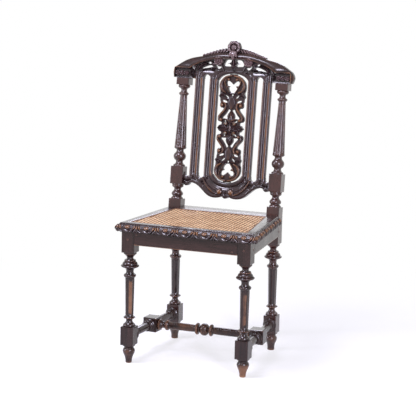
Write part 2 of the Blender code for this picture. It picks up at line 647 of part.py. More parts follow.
def tenon_solid(line, grow):
    """Returns a bmesh of a seat rail's tenons and what joins them, made larger all round by a clearance."""
    start, end = line
    lengthways = 0 if abs(end.x - start.x) > abs(end.y - start.y) else 1
    extra = (end - start).normalized() * grow
    half = SEAT_TENON_THICKNESS / 2 + grow
    bottom = SEAT_RAIL_BOTTOM + SEAT_TENON_SHOULDER - grow
    top = SEAT_FRAME_BOTTOM - GAP - SEAT_TENON_SHOULDER + grow
    return loft([rail_ring(point, half, bottom, top, lengthways) for point in (start - extra, end + extra)])


def seat_rail(name, line, shoulders):
    """Makes a seat rail with a tenon at each end.

    Args:
        name: the piece's name.
        line: the ends of the tenons, along the rail's middle.
        shoulders: the rail's two ends along X for a cross rail, or along Y for a side rail.
    """
    start, end = line
    lengthways = 0 if abs(end.x - start.x) > abs(end.y - start.y) else 1
    span = end[lengthways] - start[lengthways]
    first, last = (start.lerp(end, (place - start[lengthways]) / span) for place in shoulders)
    bottom, top = SEAT_RAIL_BOTTOM, SEAT_FRAME_BOTTOM - GAP
    body = [rail_ring(point, SEAT_RAIL_THICKNESS / 2, bottom, top, lengthways) for point in (first, last)]
    half = SEAT_TENON_THICKNESS / 2
    tenons = [
        rail_ring(point, half, bottom + SEAT_TENON_SHOULDER, top - SEAT_TENON_SHOULDER, lengthways)
        for point in (start, first, last, end)
    ]
    rail = add_piece(name, loft([tenons[0], tenons[1], *body, tenons[2], tenons[3]]))
    for peg_start, peg_end in [*seat_pegs().values(), *rail_pegs().values()]:
        cut(rail, round_bar(peg_start, peg_end, PEG_RADIUS + GAP, PEG_SIDES))


def seat_pegs():
    """Returns the pegs through the legs and the seat tenons, as name: (outer end, inner end)."""
    pegs = {}
    for label, side in (("left", 1), ("right", -1)):
        for place, y, x, outward in (("front", 0, FRONT_X, -1), ("rear", LEG_DEPTH, REAR_X, 1)):
            face = y + outward * (HALF_BLOCK + PEG_PROUD)
            outer = Vector((side * x, face, PEG_HEIGHT))
            pegs[f"{place}_leg_peg_{label}"] = (outer, outer - Vector((0, outward * PEG_LENGTH, 0)))
            inward = y - outward * (HALF_BLOCK - SIDE_TENON_LENGTH / 2)
            outer = Vector((side * (x + HALF_BLOCK + PEG_PROUD), inward, PEG_HEIGHT))
            pegs[f"{place}_side_peg_{label}"] = (outer, outer - Vector((side * PEG_LENGTH, 0, 0)))
    return pegs


def rail_pegs():
    """Returns the pegs through the front rail into the corner blocks behind it."""
    pegs = {}
    for label, side, (inset, rise) in (("right", -1, RAIL_PEG_RIGHT), ("left", 1, RAIL_PEG_LEFT)):
        x = side * (FRONT_X - HALF_BLOCK - inset)
        height = SEAT_RAIL_BOTTOM + rise
        outer = Vector((x, -HALF_BLOCK - PEG_PROUD, height))
        inner = Vector((x, SEAT_RAIL_THICKNESS - HALF_BLOCK + 2 * PEG_RADIUS, height))
        pegs[f"front_rail_peg_{label}"] = (outer, inner)
    return pegs


def corner_block(name, side, rear):
    """Makes a glued corner block: it fills the corner between two seat rails, round the leg."""
    sign = -1 if rear else 1
    leg_y = LEG_DEPTH if rear else 0
    leg_face = leg_y + sign * (HALF_BLOCK + GAP)
    leg_side = (STILE_INNER if rear else FRONT_X - HALF_BLOCK) - GAP
    rail_face = LEG_DEPTH + REAR_RAIL_SETBACK if rear else SEAT_RAIL_THICKNESS / 2 - HALF_BLOCK
    rail_face += sign * (SEAT_RAIL_THICKNESS / 2 + GAP)
    far = leg_face + sign * CORNER_BLOCK_REACH
    outline = [
        (leg_side - CORNER_BLOCK_REACH, rail_face),
        (leg_side, rail_face),
        (leg_side, leg_face),
        (side_rail_edge(leg_face) - SEAT_RAIL_THICKNESS - GAP, leg_face),
        (side_rail_edge(far) - SEAT_RAIL_THICKNESS - GAP, far),
    ]
    top = SEAT_FRAME_BOTTOM - GAP
    outline = [(side * x, y) for x, y in outline]
    block = add_piece(name, slab(outline, [], top - CORNER_BLOCK_HEIGHT, top, upright=False), WORN_WOOD)
    for start, end in rail_pegs().values():
        past_end = start.lerp(end, 1 + GAP / (end - start).length)
        cut(block, round_bar(start, past_end, PEG_RADIUS + GAP, PEG_SIDES))


def side_stretcher_line(side):
    """Returns a side stretcher's axis, from the front leg's axis to the rear leg's."""
    rear_y = LEG_DEPTH + kick(STRETCHER_HEIGHT)
    return Vector((side * FRONT_X, 0, STRETCHER_HEIGHT)), Vector((side * REAR_X, rear_y, STRETCHER_HEIGHT))


def stretcher_rings(start, end, sections, sides):
    """Returns rings round a stretcher's axis.

    Args:
        start: the axis's start.
        end: the axis's end.
        sides: how many points each ring has.
        sections: each (distance from the start, radius, square, plane), where plane is None for a ring
            square to the axis, or a point and a normal that the ring's points slide to.
    """
    along = (end - start).normalized()
    rings = []
    for distance, radius, square, plane in sections:
        ring = axis_ring(start, start + along, distance, radius, sides, square)
        if plane is not None:
            point, normal = plane
            ring = [place + along * ((point - place).dot(normal) / along.dot(normal)) for place in ring]
        rings.append(ring)
    return rings


def turned_ends(turning, length, shoulder_planes):
    """Returns the sections of a stretcher's first half end, tenon included, and of its mirrored last end."""
    first_plane, last_plane = shoulder_planes
    first = [
        (0.0, ROUND_TENON_RADIUS, False, None),
        (ROUND_TENON_LENGTH, ROUND_TENON_RADIUS, False, first_plane),
        (ROUND_TENON_LENGTH, turning[0][1], False, first_plane),
    ]
    first += [(ROUND_TENON_LENGTH + place, radius, False, None) for place, radius in turning[1:]]
    last = [(length - place, radius, square, plane and last_plane) for place, radius, square, plane in first]
    return first, last[::-1]


def side_stretcher(name, side):
    """Makes a side stretcher: bells at the legs, a square middle block and turned stretches between."""
    front_axis, rear_axis = side_stretcher_line(side)
    along = (rear_axis - front_axis).normalized()
    inset = (HALF_BLOCK + GAP) / along.y - ROUND_TENON_LENGTH
    start, end = front_axis + along * inset, rear_axis - along * inset
    length = (end - start).length
    face = Vector((0, HALF_BLOCK + GAP, 0))
    rear_normal = Vector((0, 1, REAR_FOOT_KICK / KICK_TOP))
    planes = ((front_axis + face, Vector((0, 1, 0))), (rear_axis - face, rear_normal))
    first, last = turned_ends(SIDE_END_TURNING, length, planes)
    middle = length / 2
    block_end = CENTRE_BLOCK_LENGTH / 2
    beads = [(block_end + place, radius, False, None) for place, radius in SIDE_CENTRE_TURNING]
    before = [(middle - place, *rest) for place, *rest in reversed(beads)]
    after = [(middle + place, *rest) for place, *rest in beads]
    half_side = CENTRE_BLOCK_SIDE / 2
    block = [
        (place, radius, square, None)
        for place, radius, square in block_sections(middle - block_end, middle + block_end, half_side)
    ]
    sections = first + before + block + after + last
    stretcher = add_piece(name, loft(stretcher_rings(start, end, sections, SIDES)))
    for target, normal in cross_stretcher_ends():
        if target.x * side > 0:
            centre = target - Vector((target.x, 0, 0))
            cut_round_mortise(stretcher, target, centre, half_side, normal)


def cross_stretcher_ends():
    """Returns the middles of the side stretchers' blocks, each with its inner face's normal."""
    ends = []
    for side in (1, -1):
        start, end = side_stretcher_line(side)
        along = (end - start).normalized()
        ends.append((start.lerp(end, 0.5), Vector((0, 0, side)).cross(along)))
    return ends


def cross_stretcher(name):
    """Makes the cross stretcher, with a ball and two collars in the middle and a collar near each end."""
    (left, left_normal), (right, right_normal) = cross_stretcher_ends()
    along = (right - left).normalized()
    face = CENTRE_BLOCK_SIDE / 2 + GAP
    inset = face / along.dot(left_normal) - ROUND_TENON_LENGTH
    start, end = left + along * inset, right - along * inset
    length = (end - start).length
    planes = ((left + left_normal * face, left_normal), (right + right_normal * face, right_normal))
    first, last = turned_ends(CROSS_END_TURNING, length, planes)
    half = [(place, radius, False, None) for place, radius in CROSS_CENTRE_TURNING]
    before = [(length / 2 - place, *rest) for place, *rest in reversed(half)]
    after = [(length / 2 + place, *rest) for place, *rest in half[1:]]
    add_piece(name, loft(stretcher_rings(start, end, first + before + after + last, CROSS_SIDES)))


def cane_edge(y):
    """Returns the half width of the cane's opening at a depth."""
    share = (y - CANE_FRONT_EDGE) / (CANE_REAR_EDGE - CANE_FRONT_EDGE)
    return CANE_FRONT_HALF + share * (CANE_REAR_HALF - CANE_FRONT_HALF)


def board_section():
    """Returns a moulded board's section, as (place across the top from 0 inside to 1, overhang, drop)."""
    inner = [
        (-CANE_LEDGE, SEAT_FRAME_THICKNESS),
        (-CANE_LEDGE, CANE_LEDGE_DROP),
        (0.0, CANE_LEDGE_DROP),
        (0.0, 0.0),
    ]
    stretch = SEAT_FRAME_THICKNESS / EDGE_MOULDING[-1][1]
    edge = [(1, overhang, drop * stretch) for overhang, drop in EDGE_MOULDING]
    return [(0, reach, drop) for reach, drop in inner] + edge


def mitre_ring(shift):
    """Returns the section where a front and a side board meet, on the sitter's left, moved by a shift."""
    inner = Vector((CANE_FRONT_HALF, CANE_FRONT_EDGE, 0))
    outer = Vector((SEAT_FRONT_HALF, SEAT_FRONT_EDGE, 0))
    outward = (outer - inner) / (CANE_FRONT_EDGE - SEAT_FRONT_EDGE)
    ring = []
    for share, reach, drop in board_section():
        place = (outer if share else inner) + outward * reach + Vector(shift)
        ring.append(Vector((place.x, place.y, SEAT_HEIGHT - drop)))
    return ring


def mirrored(ring):
    """Returns a ring mirrored from one side of the chair to the other."""
    return [Vector((-point.x, point.y, point.z)) for point in ring]


def front_board(name):
    """Makes the seat frame's front board, mitred to the side boards."""
    ring = mitre_ring((-GAP, 0, 0))
    add_piece(name, loft([ring, mirrored(ring)]))


def side_board(name, side):
    """Makes a side board, from its mitre to the stile's front face."""
    y = LEG_DEPTH - HALF_BLOCK - GAP
    rear = []
    for share, reach, drop in board_section():
        x = (SEAT_REAR_HALF if share else cane_edge(y)) + reach
        rear.append(Vector((x, y, SEAT_HEIGHT - drop)))
    rings = [mitre_ring((0, GAP, 0)), rear]
    board = add_piece(name, loft(rings if side > 0 else [mirrored(ring) for ring in rings]))
    outline = [(cane_edge(CANE_REAR_EDGE - GAP), CANE_REAR_EDGE - GAP), (cane_edge(LEG_DEPTH), LEG_DEPTH),
               (STILE_INNER - HALF_BLOCK, LEG_DEPTH), (STILE_INNER - HALF_BLOCK, CANE_REAR_EDGE - GAP)]
    outline = [(side * x, y) for x, y in outline]
    cut(board, slab(outline, [], SEAT_FRAME_BOTTOM - GAP, SEAT_HEIGHT + GAP, upright=False))


def rear_board(name):
    """Makes the seat frame's rear board, which fits between the side boards and then between the stiles."""
    stile_front = LEG_DEPTH - HALF_BLOCK - GAP
    ledge_front = CANE_REAR_EDGE - CANE_LEDGE
    half = [
        (cane_edge(ledge_front) - CANE_LEDGE - GAP, ledge_front),
        (cane_edge(CANE_REAR_EDGE) - CANE_LEDGE - GAP, CANE_REAR_EDGE),
        (cane_edge(CANE_REAR_EDGE) - GAP, CANE_REAR_EDGE),
        (cane_edge(stile_front) - GAP, stile_front),
        (STILE_INNER - GAP, stile_front),
        (STILE_INNER - GAP, SEAT_REAR_EDGE),
    ]
    outline = half + [(-x, y) for x, y in reversed(half)]
    board = add_piece(name, slab(outline, [], SEAT_FRAME_BOTTOM, SEAT_HEIGHT, upright=False))
    low = (-CANE_FRONT_HALF, ledge_front - CANE_LEDGE, SEAT_HEIGHT - CANE_LEDGE_DROP)
    cut(board, box(low, (CANE_FRONT_HALF, CANE_REAR_EDGE, SEAT_HEIGHT + CANE_LEDGE)))


def cane_panel(name):
    """Makes the cane panel as a thin sheet that rests on the boards' ledges and sags a little."""
    builder = bmesh.new()
    top = SEAT_HEIGHT - CANE_LEDGE_DROP + GAP + CANE_THICKNESS
    layers = []
    for height in (top, top - CANE_THICKNESS):
        grid = []
        for row in range(CANE_STEPS + 1):
            v = row / CANE_STEPS
            y = CANE_FRONT_EDGE + GAP + v * (CANE_REAR_EDGE - CANE_FRONT_EDGE - 2 * GAP)
            half = cane_edge(y) - GAP
            line = []
            for column in range(CANE_STEPS + 1):
                u = column / CANE_STEPS
                sag = CANE_SAG * 16 * u * (1 - u) * v * (1 - v)
                line.append(builder.verts.new((half * (2 * u - 1), y, height - sag)))
            grid.append(line)
        layers.append(grid)
    for grid in layers:
        for row in range(CANE_STEPS):
            for column in range(CANE_STEPS):
                builder.faces.new((grid[row][column], grid[row][column + 1], grid[row + 1][column + 1],
                                   grid[row + 1][column]))
    rims = []
    for grid in layers:
        right_side = [line[-1] for line in grid[1:-1]]
        left_side = [line[0] for line in grid[-2:0:-1]]
        rims.append(grid[0][:] + right_side + grid[-1][::-1] + left_side)
    for here in range(len(rims[0])):
        there = (here + 1) % len(rims[0])
        builder.faces.new((rims[0][here], rims[0][there], rims[1][there], rims[1][here]))
    add_piece(name, builder, CANE_COLOUR, CANE_ROUGHNESS)


def cane_binding(name):
    """Makes the binding strip that covers the cane panel's edge, in the rebate of the boards."""
    loops = []
    for inset in (GAP, GAP + BINDING_WIDTH):
        ends = (CANE_FRONT_EDGE + inset, CANE_REAR_EDGE - inset)
        half = [(cane_edge(y) - inset, y) for y in ends]
        loops.append(half + [(-x, y) for x, y in reversed(half)])
    bottom = SEAT_HEIGHT - CANE_LEDGE_DROP + CANE_THICKNESS + 2 * GAP
    top = SEAT_HEIGHT - GAP
    add_piece(name, slab(loops[0], loops[1:], bottom, top, upright=False), BINDING_COLOUR, CANE_ROUGHNESS)


def arch(centre, half_width, spring, rise, level):
    """Returns the points of an opening's elliptical end, from its right side to its left side.

    Args:
        centre: the opening's middle, across.
        half_width: half of the opening's width.
        spring: height where the curve starts.
        rise: height of the curve, negative at an opening's bottom.
        level: height where the opening's sides start, on the far side of the spring or on the curve.
    """
    lift = (level - spring) / rise
    start = math.asin(lift) if lift > 0 else 0.0
    points = [] if lift >= 0 else [(centre + half_width, level)]
    for step in range(ARCH_STEPS + 1):
        angle = start + (math.pi - 2 * start) * step / ARCH_STEPS
        points.append((centre + half_width * math.cos(angle), spring + rise * math.sin(angle)))
    if lift < 0:
        points.append((centre - half_width, level))
    return points


def bar_spaces():
    """Returns the middle and the half width of the end gap, the narrow slot and half the centre opening."""
    half_bar = BAR_WIDTH / 2
    end_inner = OUTER_BAR_OFFSET + half_bar
    end_outer = STILE_INNER - END_GAP_HORN
    return {
        "end": ((end_inner + end_outer) / 2, (end_outer - end_inner) / 2),
        "slot": ((OUTER_BAR_OFFSET + INNER_BAR_OFFSET) / 2, SLOT_WIDTH / 2),
        "opening": (0.0, OPENING_HALF),
    }


def mirror_outline(half):
    """Returns a closed outline from its right half, listed from the middle line round to it."""
    return half + [(-across, up) for across, up in reversed(half) if abs(across) > GAP / 10]


def lower_rail(name, back_frame):
    """Makes the back's shaped lower rail, with tenons for the stiles and mortises for bars and splat."""
    spaces = bar_spaces()
    end, slot, opening = spaces["end"], spaces["slot"], spaces["opening"]
    edge = STILE_INNER - GAP
    half = arch(*opening, OPENING_BOTTOM + OPENING_BOTTOM_CURVE, -OPENING_BOTTOM_CURVE, LOWER_SHOULDER)
    half = [point for point in half if point[0] > -GAP][::-1]
    half += arch(*slot, BACK_BLOCK_BOTTOM + SLOT_BOTTOM_RISE + slot[1], -slot[1], LOWER_SHOULDER)[::-1]
    half += arch(*end, BACK_BLOCK_BOTTOM + END_GAP_BOTTOM_RISE + end[1], -end[1], LOWER_SHOULDER)[::-1]
    tenon_tip = STILE_INNER + BACK_TENON_LENGTH
    half += [(edge, LOWER_SHOULDER), (edge, BACK_TENON_TOP), (tenon_tip, BACK_TENON_TOP),
             (tenon_tip, BACK_TENON_BOTTOM), (edge, BACK_TENON_BOTTOM)]
    stretch = STILE_INNER / (LOWER_RAIL_EDGE[0][0] + LOWER_RAIL_EDGE_END)
    half += [(across * stretch, BACK_BLOCK_BOTTOM + up) for across, up in LOWER_RAIL_EDGE]
    outline = mirror_outline(half)
    rail = add_piece(name, slab(outline, [], BACK_RAIL_FRONT, BACK_RAIL_BACK), parent=back_frame)
    bottom, top = LOWER_SHOULDER - BAR_TENON_LENGTH - GAP, LOWER_SHOULDER + BAR_TENON_LENGTH
    for offset in bar_offsets():
        cut(rail, bar_tenon(offset, bottom, top, GAP))
    cut(rail, splat_tenon(-1, GAP))


def upper_rail(name, back_frame):
    """Makes the back's upper rail, arched over the openings and tenoned into the frieze blocks."""
    spaces = bar_spaces()
    slot, opening = spaces["slot"], spaces["opening"]
    edge = FRIEZE_INNER - GAP
    half = arch(*opening, OPENING_TOP - OPENING_TOP_CURVE, OPENING_TOP_CURVE, UPPER_SHOULDER)
    half = [point for point in half if point[0] > -GAP][::-1]
    half += arch(*slot, CREST_BASE + SLOT_TOP_RISE - slot[1], slot[1], UPPER_SHOULDER)[::-1]
    half += [(edge, UPPER_SHOULDER), (edge, FRIEZE_TENON_BOTTOM),
             (FRIEZE_INNER + FRIEZE_TENON_LENGTH, FRIEZE_TENON_BOTTOM),
             (FRIEZE_INNER + FRIEZE_TENON_LENGTH, FRIEZE_TENON_TOP), (edge, FRIEZE_TENON_TOP)]
    half += upper_rail_top()[::-1]
    shape = slab(mirror_outline(half), [], BACK_RAIL_FRONT, BACK_RAIL_BACK)
    rail = add_piece(name, shape, parent=back_frame)
    bottom, top = UPPER_SHOULDER - BAR_TENON_LENGTH, UPPER_SHOULDER + BAR_TENON_LENGTH + GAP
    for offset in bar_offsets():
        cut(rail, bar_tenon(offset, bottom, top, GAP))
    cut(rail, splat_tenon(1, GAP))


def upper_rail_top():
    """Returns the right half of the upper rail's top edge, from the middle out."""
    slot_side = OUTER_BAR_OFFSET - BAR_WIDTH / 2
    end_top = UPPER_RAIL_TOP - UPPER_RAIL_END_FALL
    return [(0.0, UPPER_RAIL_TOP), (INNER_BAR_OFFSET, UPPER_RAIL_TOP),
            (slot_side, UPPER_RAIL_TOP - UPPER_RAIL_END_FALL / 4), (OUTER_BAR_OFFSET, end_top),
            (FRIEZE_INNER - GAP, end_top)]


def bar_offsets():
    """Returns the four bars' places across the back."""
    return (-OUTER_BAR_OFFSET, -INNER_BAR_OFFSET, INNER_BAR_OFFSET, OUTER_BAR_OFFSET)


def bar_shape():
    """Returns a bar's section as (across, depth): a flat back, and two rounded reeds with a groove."""
    half = BAR_WIDTH / 2
    reed = half / 2
    shape = [(-half, BAR_BACK), (half, BAR_BACK), (half, BAR_FRONT + BAR_GROOVE)]
    for centre in (reed, -reed):
        for step in (1, 2, 3):
            angle = math.pi * step / 4
            shape.append((centre + reed * math.cos(angle), BAR_FRONT + BAR_GROOVE * (1 - math.sin(angle))))
        shape.append((centre - reed, BAR_FRONT + BAR_GROOVE))
    return shape


def bar_ring(offset, up):
    """Returns a bar's section at a height."""
    return [(offset + across, depth, up) for across, depth in bar_shape()]


def tenon_ring(offset, up, grow=0.0):
    """Returns the flat section of a bar's tenon at a height, with as many points as the bar's own."""
    half = BAR_WIDTH / 2
    middle = (BAR_FRONT + BAR_BACK) / 2
    ring = []
    for across, depth in bar_shape():
        x = across * BAR_TENON_WIDTH / BAR_WIDTH
        if abs(across) > half - GAP:
            x += math.copysign(grow, across)
        reach = BAR_TENON_THICKNESS / 2 + grow
        ring.append((offset + x, middle + (reach if depth > middle else -reach), up))
    return ring


def bar_tenon(offset, bottom, top, grow):
    """Returns a bmesh of a bar's tenon between two heights, made larger by a clearance."""
    return loft([tenon_ring(offset, up, grow) for up in (bottom, top)])


def back_bar(name, offset, back_frame):
    """Makes an upright bar of the back, with a tenon at each end."""
    low, high = LOWER_SHOULDER + GAP, UPPER_SHOULDER - GAP
    rings = [
        tenon_ring(offset, LOWER_SHOULDER - BAR_TENON_LENGTH),
        tenon_ring(offset, low),
        bar_ring(offset, low),
        bar_ring(offset, high),
        tenon_ring(offset, high),
        tenon_ring(offset, UPPER_SHOULDER + BAR_TENON_LENGTH),
    ]
    add_piece(name, loft(rings), parent=back_frame)


def splat_tenon(end, grow):
    """Returns a bmesh of the splat's tenon at its top (+1) or bottom (-1), larger by a clearance."""
    root = SPLAT_MIDDLE + end * (SPLAT_HALF_HEIGHT - SPLAT_TENON_LENGTH)
    tip = SPLAT_MIDDLE + end * (SPLAT_HALF_HEIGHT + TAB_FALL + SPLAT_TENON_LENGTH + grow)
    half = SPLAT_TENON_HALF + grow
    low, high = sorted((root, tip))
    return box((-half, SPLAT_FRONT - grow, low), (half, SPLAT_BACK + grow, high))


def oval(across, up, half_length, half_width, tilt):
    """Returns the points of a tilted oval."""
    points = []
    for step in range(OVAL_STEPS):
        angle = 2 * math.pi * step / OVAL_STEPS
        x, y = half_length * math.cos(angle), half_width * math.sin(angle)
        right = x * math.cos(tilt) - y * math.sin(tilt)
        points.append((across + right, up + x * math.sin(tilt) + y * math.cos(tilt)))
    return points


def splat_quarters(points):
    """Returns a piercing of the splat's upper right quarter, repeated in all four."""
    return [[(x * sx, up * sy) for x, up in points] for sx in (1, -1) for sy in (1, -1)]


def centre_splat(name, back_frame):
    """Makes the pierced centre splat, the same to left and right and above and below its middle."""
    wide = SPLAT_HALF_WIDTH / max(x for x, up in SPLAT_EDGE)
    high = SPLAT_HALF_HEIGHT / SPLAT_DRAWN_HALF
    top = [(SPLAT_TENON_HALF / wide, SPLAT_DRAWN_HALF + (TAB_FALL + SPLAT_TENON_LENGTH) / high)]
    top += [(SPLAT_TENON_HALF / wide, SPLAT_DRAWN_HALF), (SPLAT_TAB_HALF / wide, SPLAT_DRAWN_HALF)]
    right = top + list(SPLAT_EDGE)
    right += [(x, -up) for x, up in reversed(right[:-1])]
    outline = right + [(-x, up) for x, up in reversed(right)]
    ring = mirror_outline(list(SPLAT_RING_OPENING)[::-1])
    pin = oval(0, SPLAT_PIN_HOLE_UP, SPLAT_PIN_HOLE_RADIUS, SPLAT_PIN_HOLE_RADIUS, 0)
    holes = [[(x, up * sign) for x, up in shape] for shape in (ring, pin) for sign in (1, -1)]
    for shape in (SPLAT_BUD_OPENING, *(oval(*sizes) for sizes in SPLAT_OVALS)):
        holes += splat_quarters(shape)
    loops = [[(x * wide, SPLAT_MIDDLE + up * high) for x, up in loop] for loop in (outline, *holes)]
    add_piece(name, slab(loops[0], loops[1:], SPLAT_FRONT, SPLAT_BACK), parent=back_frame)


def hood_half():
    """Returns the right half of the hood's sections, as pairs of an outer and an inner point."""
    corner = FRIEZE_OUTER + GAP
    pairs = [
        ((across * CREST_STRETCH, CREST_BASE + outer), (across * CREST_STRETCH, CREST_BASE + inner))
        for across, outer, inner in HOOD_ARCH
    ]
    stretch = (FRIEZE_OUTER - FRIEZE_INNER) / HOOD_SHOULDER[-1][0]
    for past, up in HOOD_SHOULDER:
        across = FRIEZE_INNER + past * stretch
        pairs.append(((across, CREST_BASE + up), (across, FRIEZE_TOP + GAP)))
    inner_heights = [FRIEZE_TOP + GAP] + [CREST_BASE + up for past, up in HOOD_END[1:]]
    for (past, up), inner in zip(HOOD_END, inner_heights):
        pairs.append(((FRIEZE_OUTER + past, CREST_BASE + up), (corner, inner)))
    return pairs


def crest_hood(name, back_frame):
    """Makes the crest's hood: an arched band, sloping out to a lip and turned down at its ends."""
    rings = []
    half = hood_half()
    mirror = [((-outer[0], outer[1]), (-inner[0], inner[1])) for outer, inner in reversed(half[1:])]
    for outer, inner in mirror + half:
        outer, inner = Vector(outer), Vector(inner)
        width = (outer - inner).length
        fillet = outer.lerp(inner, min(HOOD_FILLET / width, HOOD_EDGE_SHARE))
        lip = inner.lerp(outer, min(HOOD_LIP / width, HOOD_EDGE_SHARE))
        ring = [(inner, HOOD_BACK), (outer, HOOD_BACK), (outer, HOOD_TOP_FRONT), (fillet, HOOD_TOP_FRONT),
                (lip, HOOD_LIP_FRONT), (inner, HOOD_LIP_FRONT)]
        rings.append([(point.x, depth, point.y) for point, depth in ring])
    hood = add_piece(name, loft(rings), parent=back_frame)
    cut(hood, cartouche_boss(GAP))


def frieze_block(name, side, back_frame):
    """Makes the block on top of a stile, with three florets on its face."""
    low_x, high_x = sorted((side * FRIEZE_INNER, side * FRIEZE_OUTER))
    block = box((low_x, FRIEZE_FRONT, CREST_BASE + GAP), (high_x, FRIEZE_BACK, FRIEZE_TOP))
    piece = add_piece(name, block, parent=back_frame)
    pitch = (FRIEZE_OUTER - FRIEZE_INNER) / FLORET_COUNT
    middle = (CREST_BASE + FRIEZE_TOP) / 2
    for place in range(FLORET_COUNT):
        x = side * (FRIEZE_INNER + pitch * (place + 0.5))
        face = (x, FRIEZE_FRONT - FLORET_RELIEF, middle)
        join(piece, round_bar(face, (x, FRIEZE_FRONT + FLORET_RELIEF, middle), FLORET_RADIUS, SIDES // 2))
    x = side * REAR_X
    mouth = (x, 0, CREST_BASE - STILE_TENON_LENGTH)
    inner_end = (x, 0, CREST_BASE + STILE_TENON_LENGTH + GAP)
    cut(piece, round_bar(mouth, inner_end, STILE_TENON_RADIUS + GAP, SIDES))
    reach = FRIEZE_TENON_LENGTH + GAP
    low_x, high_x = sorted((side * (FRIEZE_INNER - reach), side * (FRIEZE_INNER + reach)))
    cut(piece, box((low_x, BACK_RAIL_FRONT - GAP, FRIEZE_TENON_BOTTOM - GAP),
                   (high_x, BACK_RAIL_BACK + GAP, FRIEZE_TENON_TOP + GAP)))


def crest_fretwork(name, back_frame):
    """Makes the pierced board between the upper rail and the hood, with its two rosettes."""
    top = [(across * CREST_STRETCH, CREST_BASE + inner - GAP) for across, outer, inner in HOOD_ARCH]
    top[-1] = (FRIEZE_INNER - GAP, top[-1][1])
    bottom = [(across, up + GAP) for across, up in upper_rail_top()]
    outline = mirror_outline(top + bottom[::-1])
    holes = [
        [(across * sign * CREST_STRETCH, CREST_BASE + up) for across, up in shape]
        for shape in FRET_PIERCINGS for sign in (1, -1)
    ]
    fret = add_piece(name, slab(outline, holes, FRET_FRONT, FRET_BACK), parent=back_frame)
    height = CREST_BASE + ROSETTE_RISE
    for x in (-ROSETTE_OFFSET * CREST_STRETCH, ROSETTE_OFFSET * CREST_STRETCH):
        face = (x, FRET_FRONT - ROSETTE_RELIEF, height)
        join(fret, round_bar(face, (x, FRET_FRONT + ROSETTE_RELIEF, height), ROSETTE_RADIUS, SIDES))


def cartouche_boss(grow):
    """Returns a bmesh of the cartouche's round boss, with a rounded face, made larger by a clearance."""
    sections = [(CARTOUCHE_FRONT + depth, share) for depth, share in CARTOUCHE_DOME]
    sections.append((CARTOUCHE_BACK, 1.0))
    if grow:
        sections = [(CARTOUCHE_FRONT - grow, 1.0), (CARTOUCHE_BACK + grow, 1.0)]
    rings = []
    for depth, share in sections:
        ring = ring_offsets((CARTOUCHE_RADIUS + grow) * share, CARTOUCHE_SIDES, False)
        rings.append([(across, depth, CARTOUCHE_CENTRE + up) for across, up in ring])
    return loft(rings)


def crest_cartouche(name, back_frame):
    """Makes the cartouche: a round boss let into the hood's top, with a husk hanging below it."""
    piece = add_piece(name, cartouche_boss(0.0), parent=back_frame)
    top = CARTOUCHE_CENTRE - CARTOUCHE_RADIUS / 2
    middle = top - HUSK_LENGTH / 2
    outline = [(0, top), (HUSK_HALF_WIDTH, middle), (0, top - HUSK_LENGTH), (-HUSK_HALF_WIDTH, middle)]
    back = HOOD_LIP_FRONT - GAP
    join(piece, slab(outline, [], back - HUSK_THICKNESS, back))


def hood_top(across):
    """Returns the height of the hood's outer edge at a place across the back."""
    edge = [outer for outer, inner in hood_half()]
    for (low, low_up), (high, high_up) in zip(edge, edge[1:]):
        if low <= across <= high:
            return low_up + (across - low) / (high - low) * (high_up - low_up)
    return edge[0][1]


def crest_spray(name, side, back_frame):
    """Makes a serrated leaf spray, which lies along the hood's top from the cartouche outwards."""
    first = CARTOUCHE_RADIUS + SPRAY_START
    last = first + SPRAY_LENGTH
    stations = [outer[0] for outer, inner in hood_half() if first < outer[0] < last]
    bottom = [(across, hood_top(across) + GAP) for across in (first, *stations, last)]
    top = []
    pitch = SPRAY_LENGTH / SPRAY_TEETH
    for tooth in range(SPRAY_TEETH):
        for share, lift in ((0.0, 0.0), (0.7, SPRAY_TOOTH)):
            across = first + pitch * (tooth + share)
            rise = SPRAY_INNER_RISE + (across - first) / SPRAY_LENGTH * (SPRAY_OUTER_RISE - SPRAY_INNER_RISE)
            top.append((across, hood_top(across) + rise + lift))
    outline = [(side * across, up) for across, up in bottom + top[::-1]]
    add_piece(name, slab(outline, [], SPRAY_FRONT, SPRAY_BACK), parent=back_frame)


def build_legs_and_seat():
    """Makes the legs, the seat's rails, boards and cane, the stretchers and the pegs."""
    for label, side in (("left", 1), ("right", -1)):
        front_leg(f"front_leg_{label}", side)
        rear_stile(f"rear_stile_{label}", side)
        shoulders = (HALF_BLOCK + GAP, LEG_DEPTH - HALF_BLOCK - GAP)
        seat_rail(f"side_seat_rail_{label}", side_rail_tenon(side), shoulders)
        side_board(f"seat_board_{label}", side)
        side_stretcher(f"side_stretcher_{label}", side)
        corner_block(f"front_corner_block_{label}", side, rear=False)
        corner_block(f"rear_corner_block_{label}", side, rear=True)
    reach = FRONT_X - HALF_BLOCK - GAP
    seat_rail("front_seat_rail", front_rail_tenon(), (-reach, reach))
    reach = STILE_INNER - GAP
    seat_rail("rear_seat_rail", rear_rail_tenon(), (-reach, reach))
    cross_stretcher("cross_stretcher")
    front_board("seat_board_front")
    rear_board("seat_board_rear")
    cane_panel("cane_panel")
    cane_binding("cane_binding")
    for name, (start, end) in {**seat_pegs(), **rail_pegs()}.items():
        add_piece(name, round_bar(start, end, PEG_RADIUS, PEG_SIDES), PEG_WOOD)


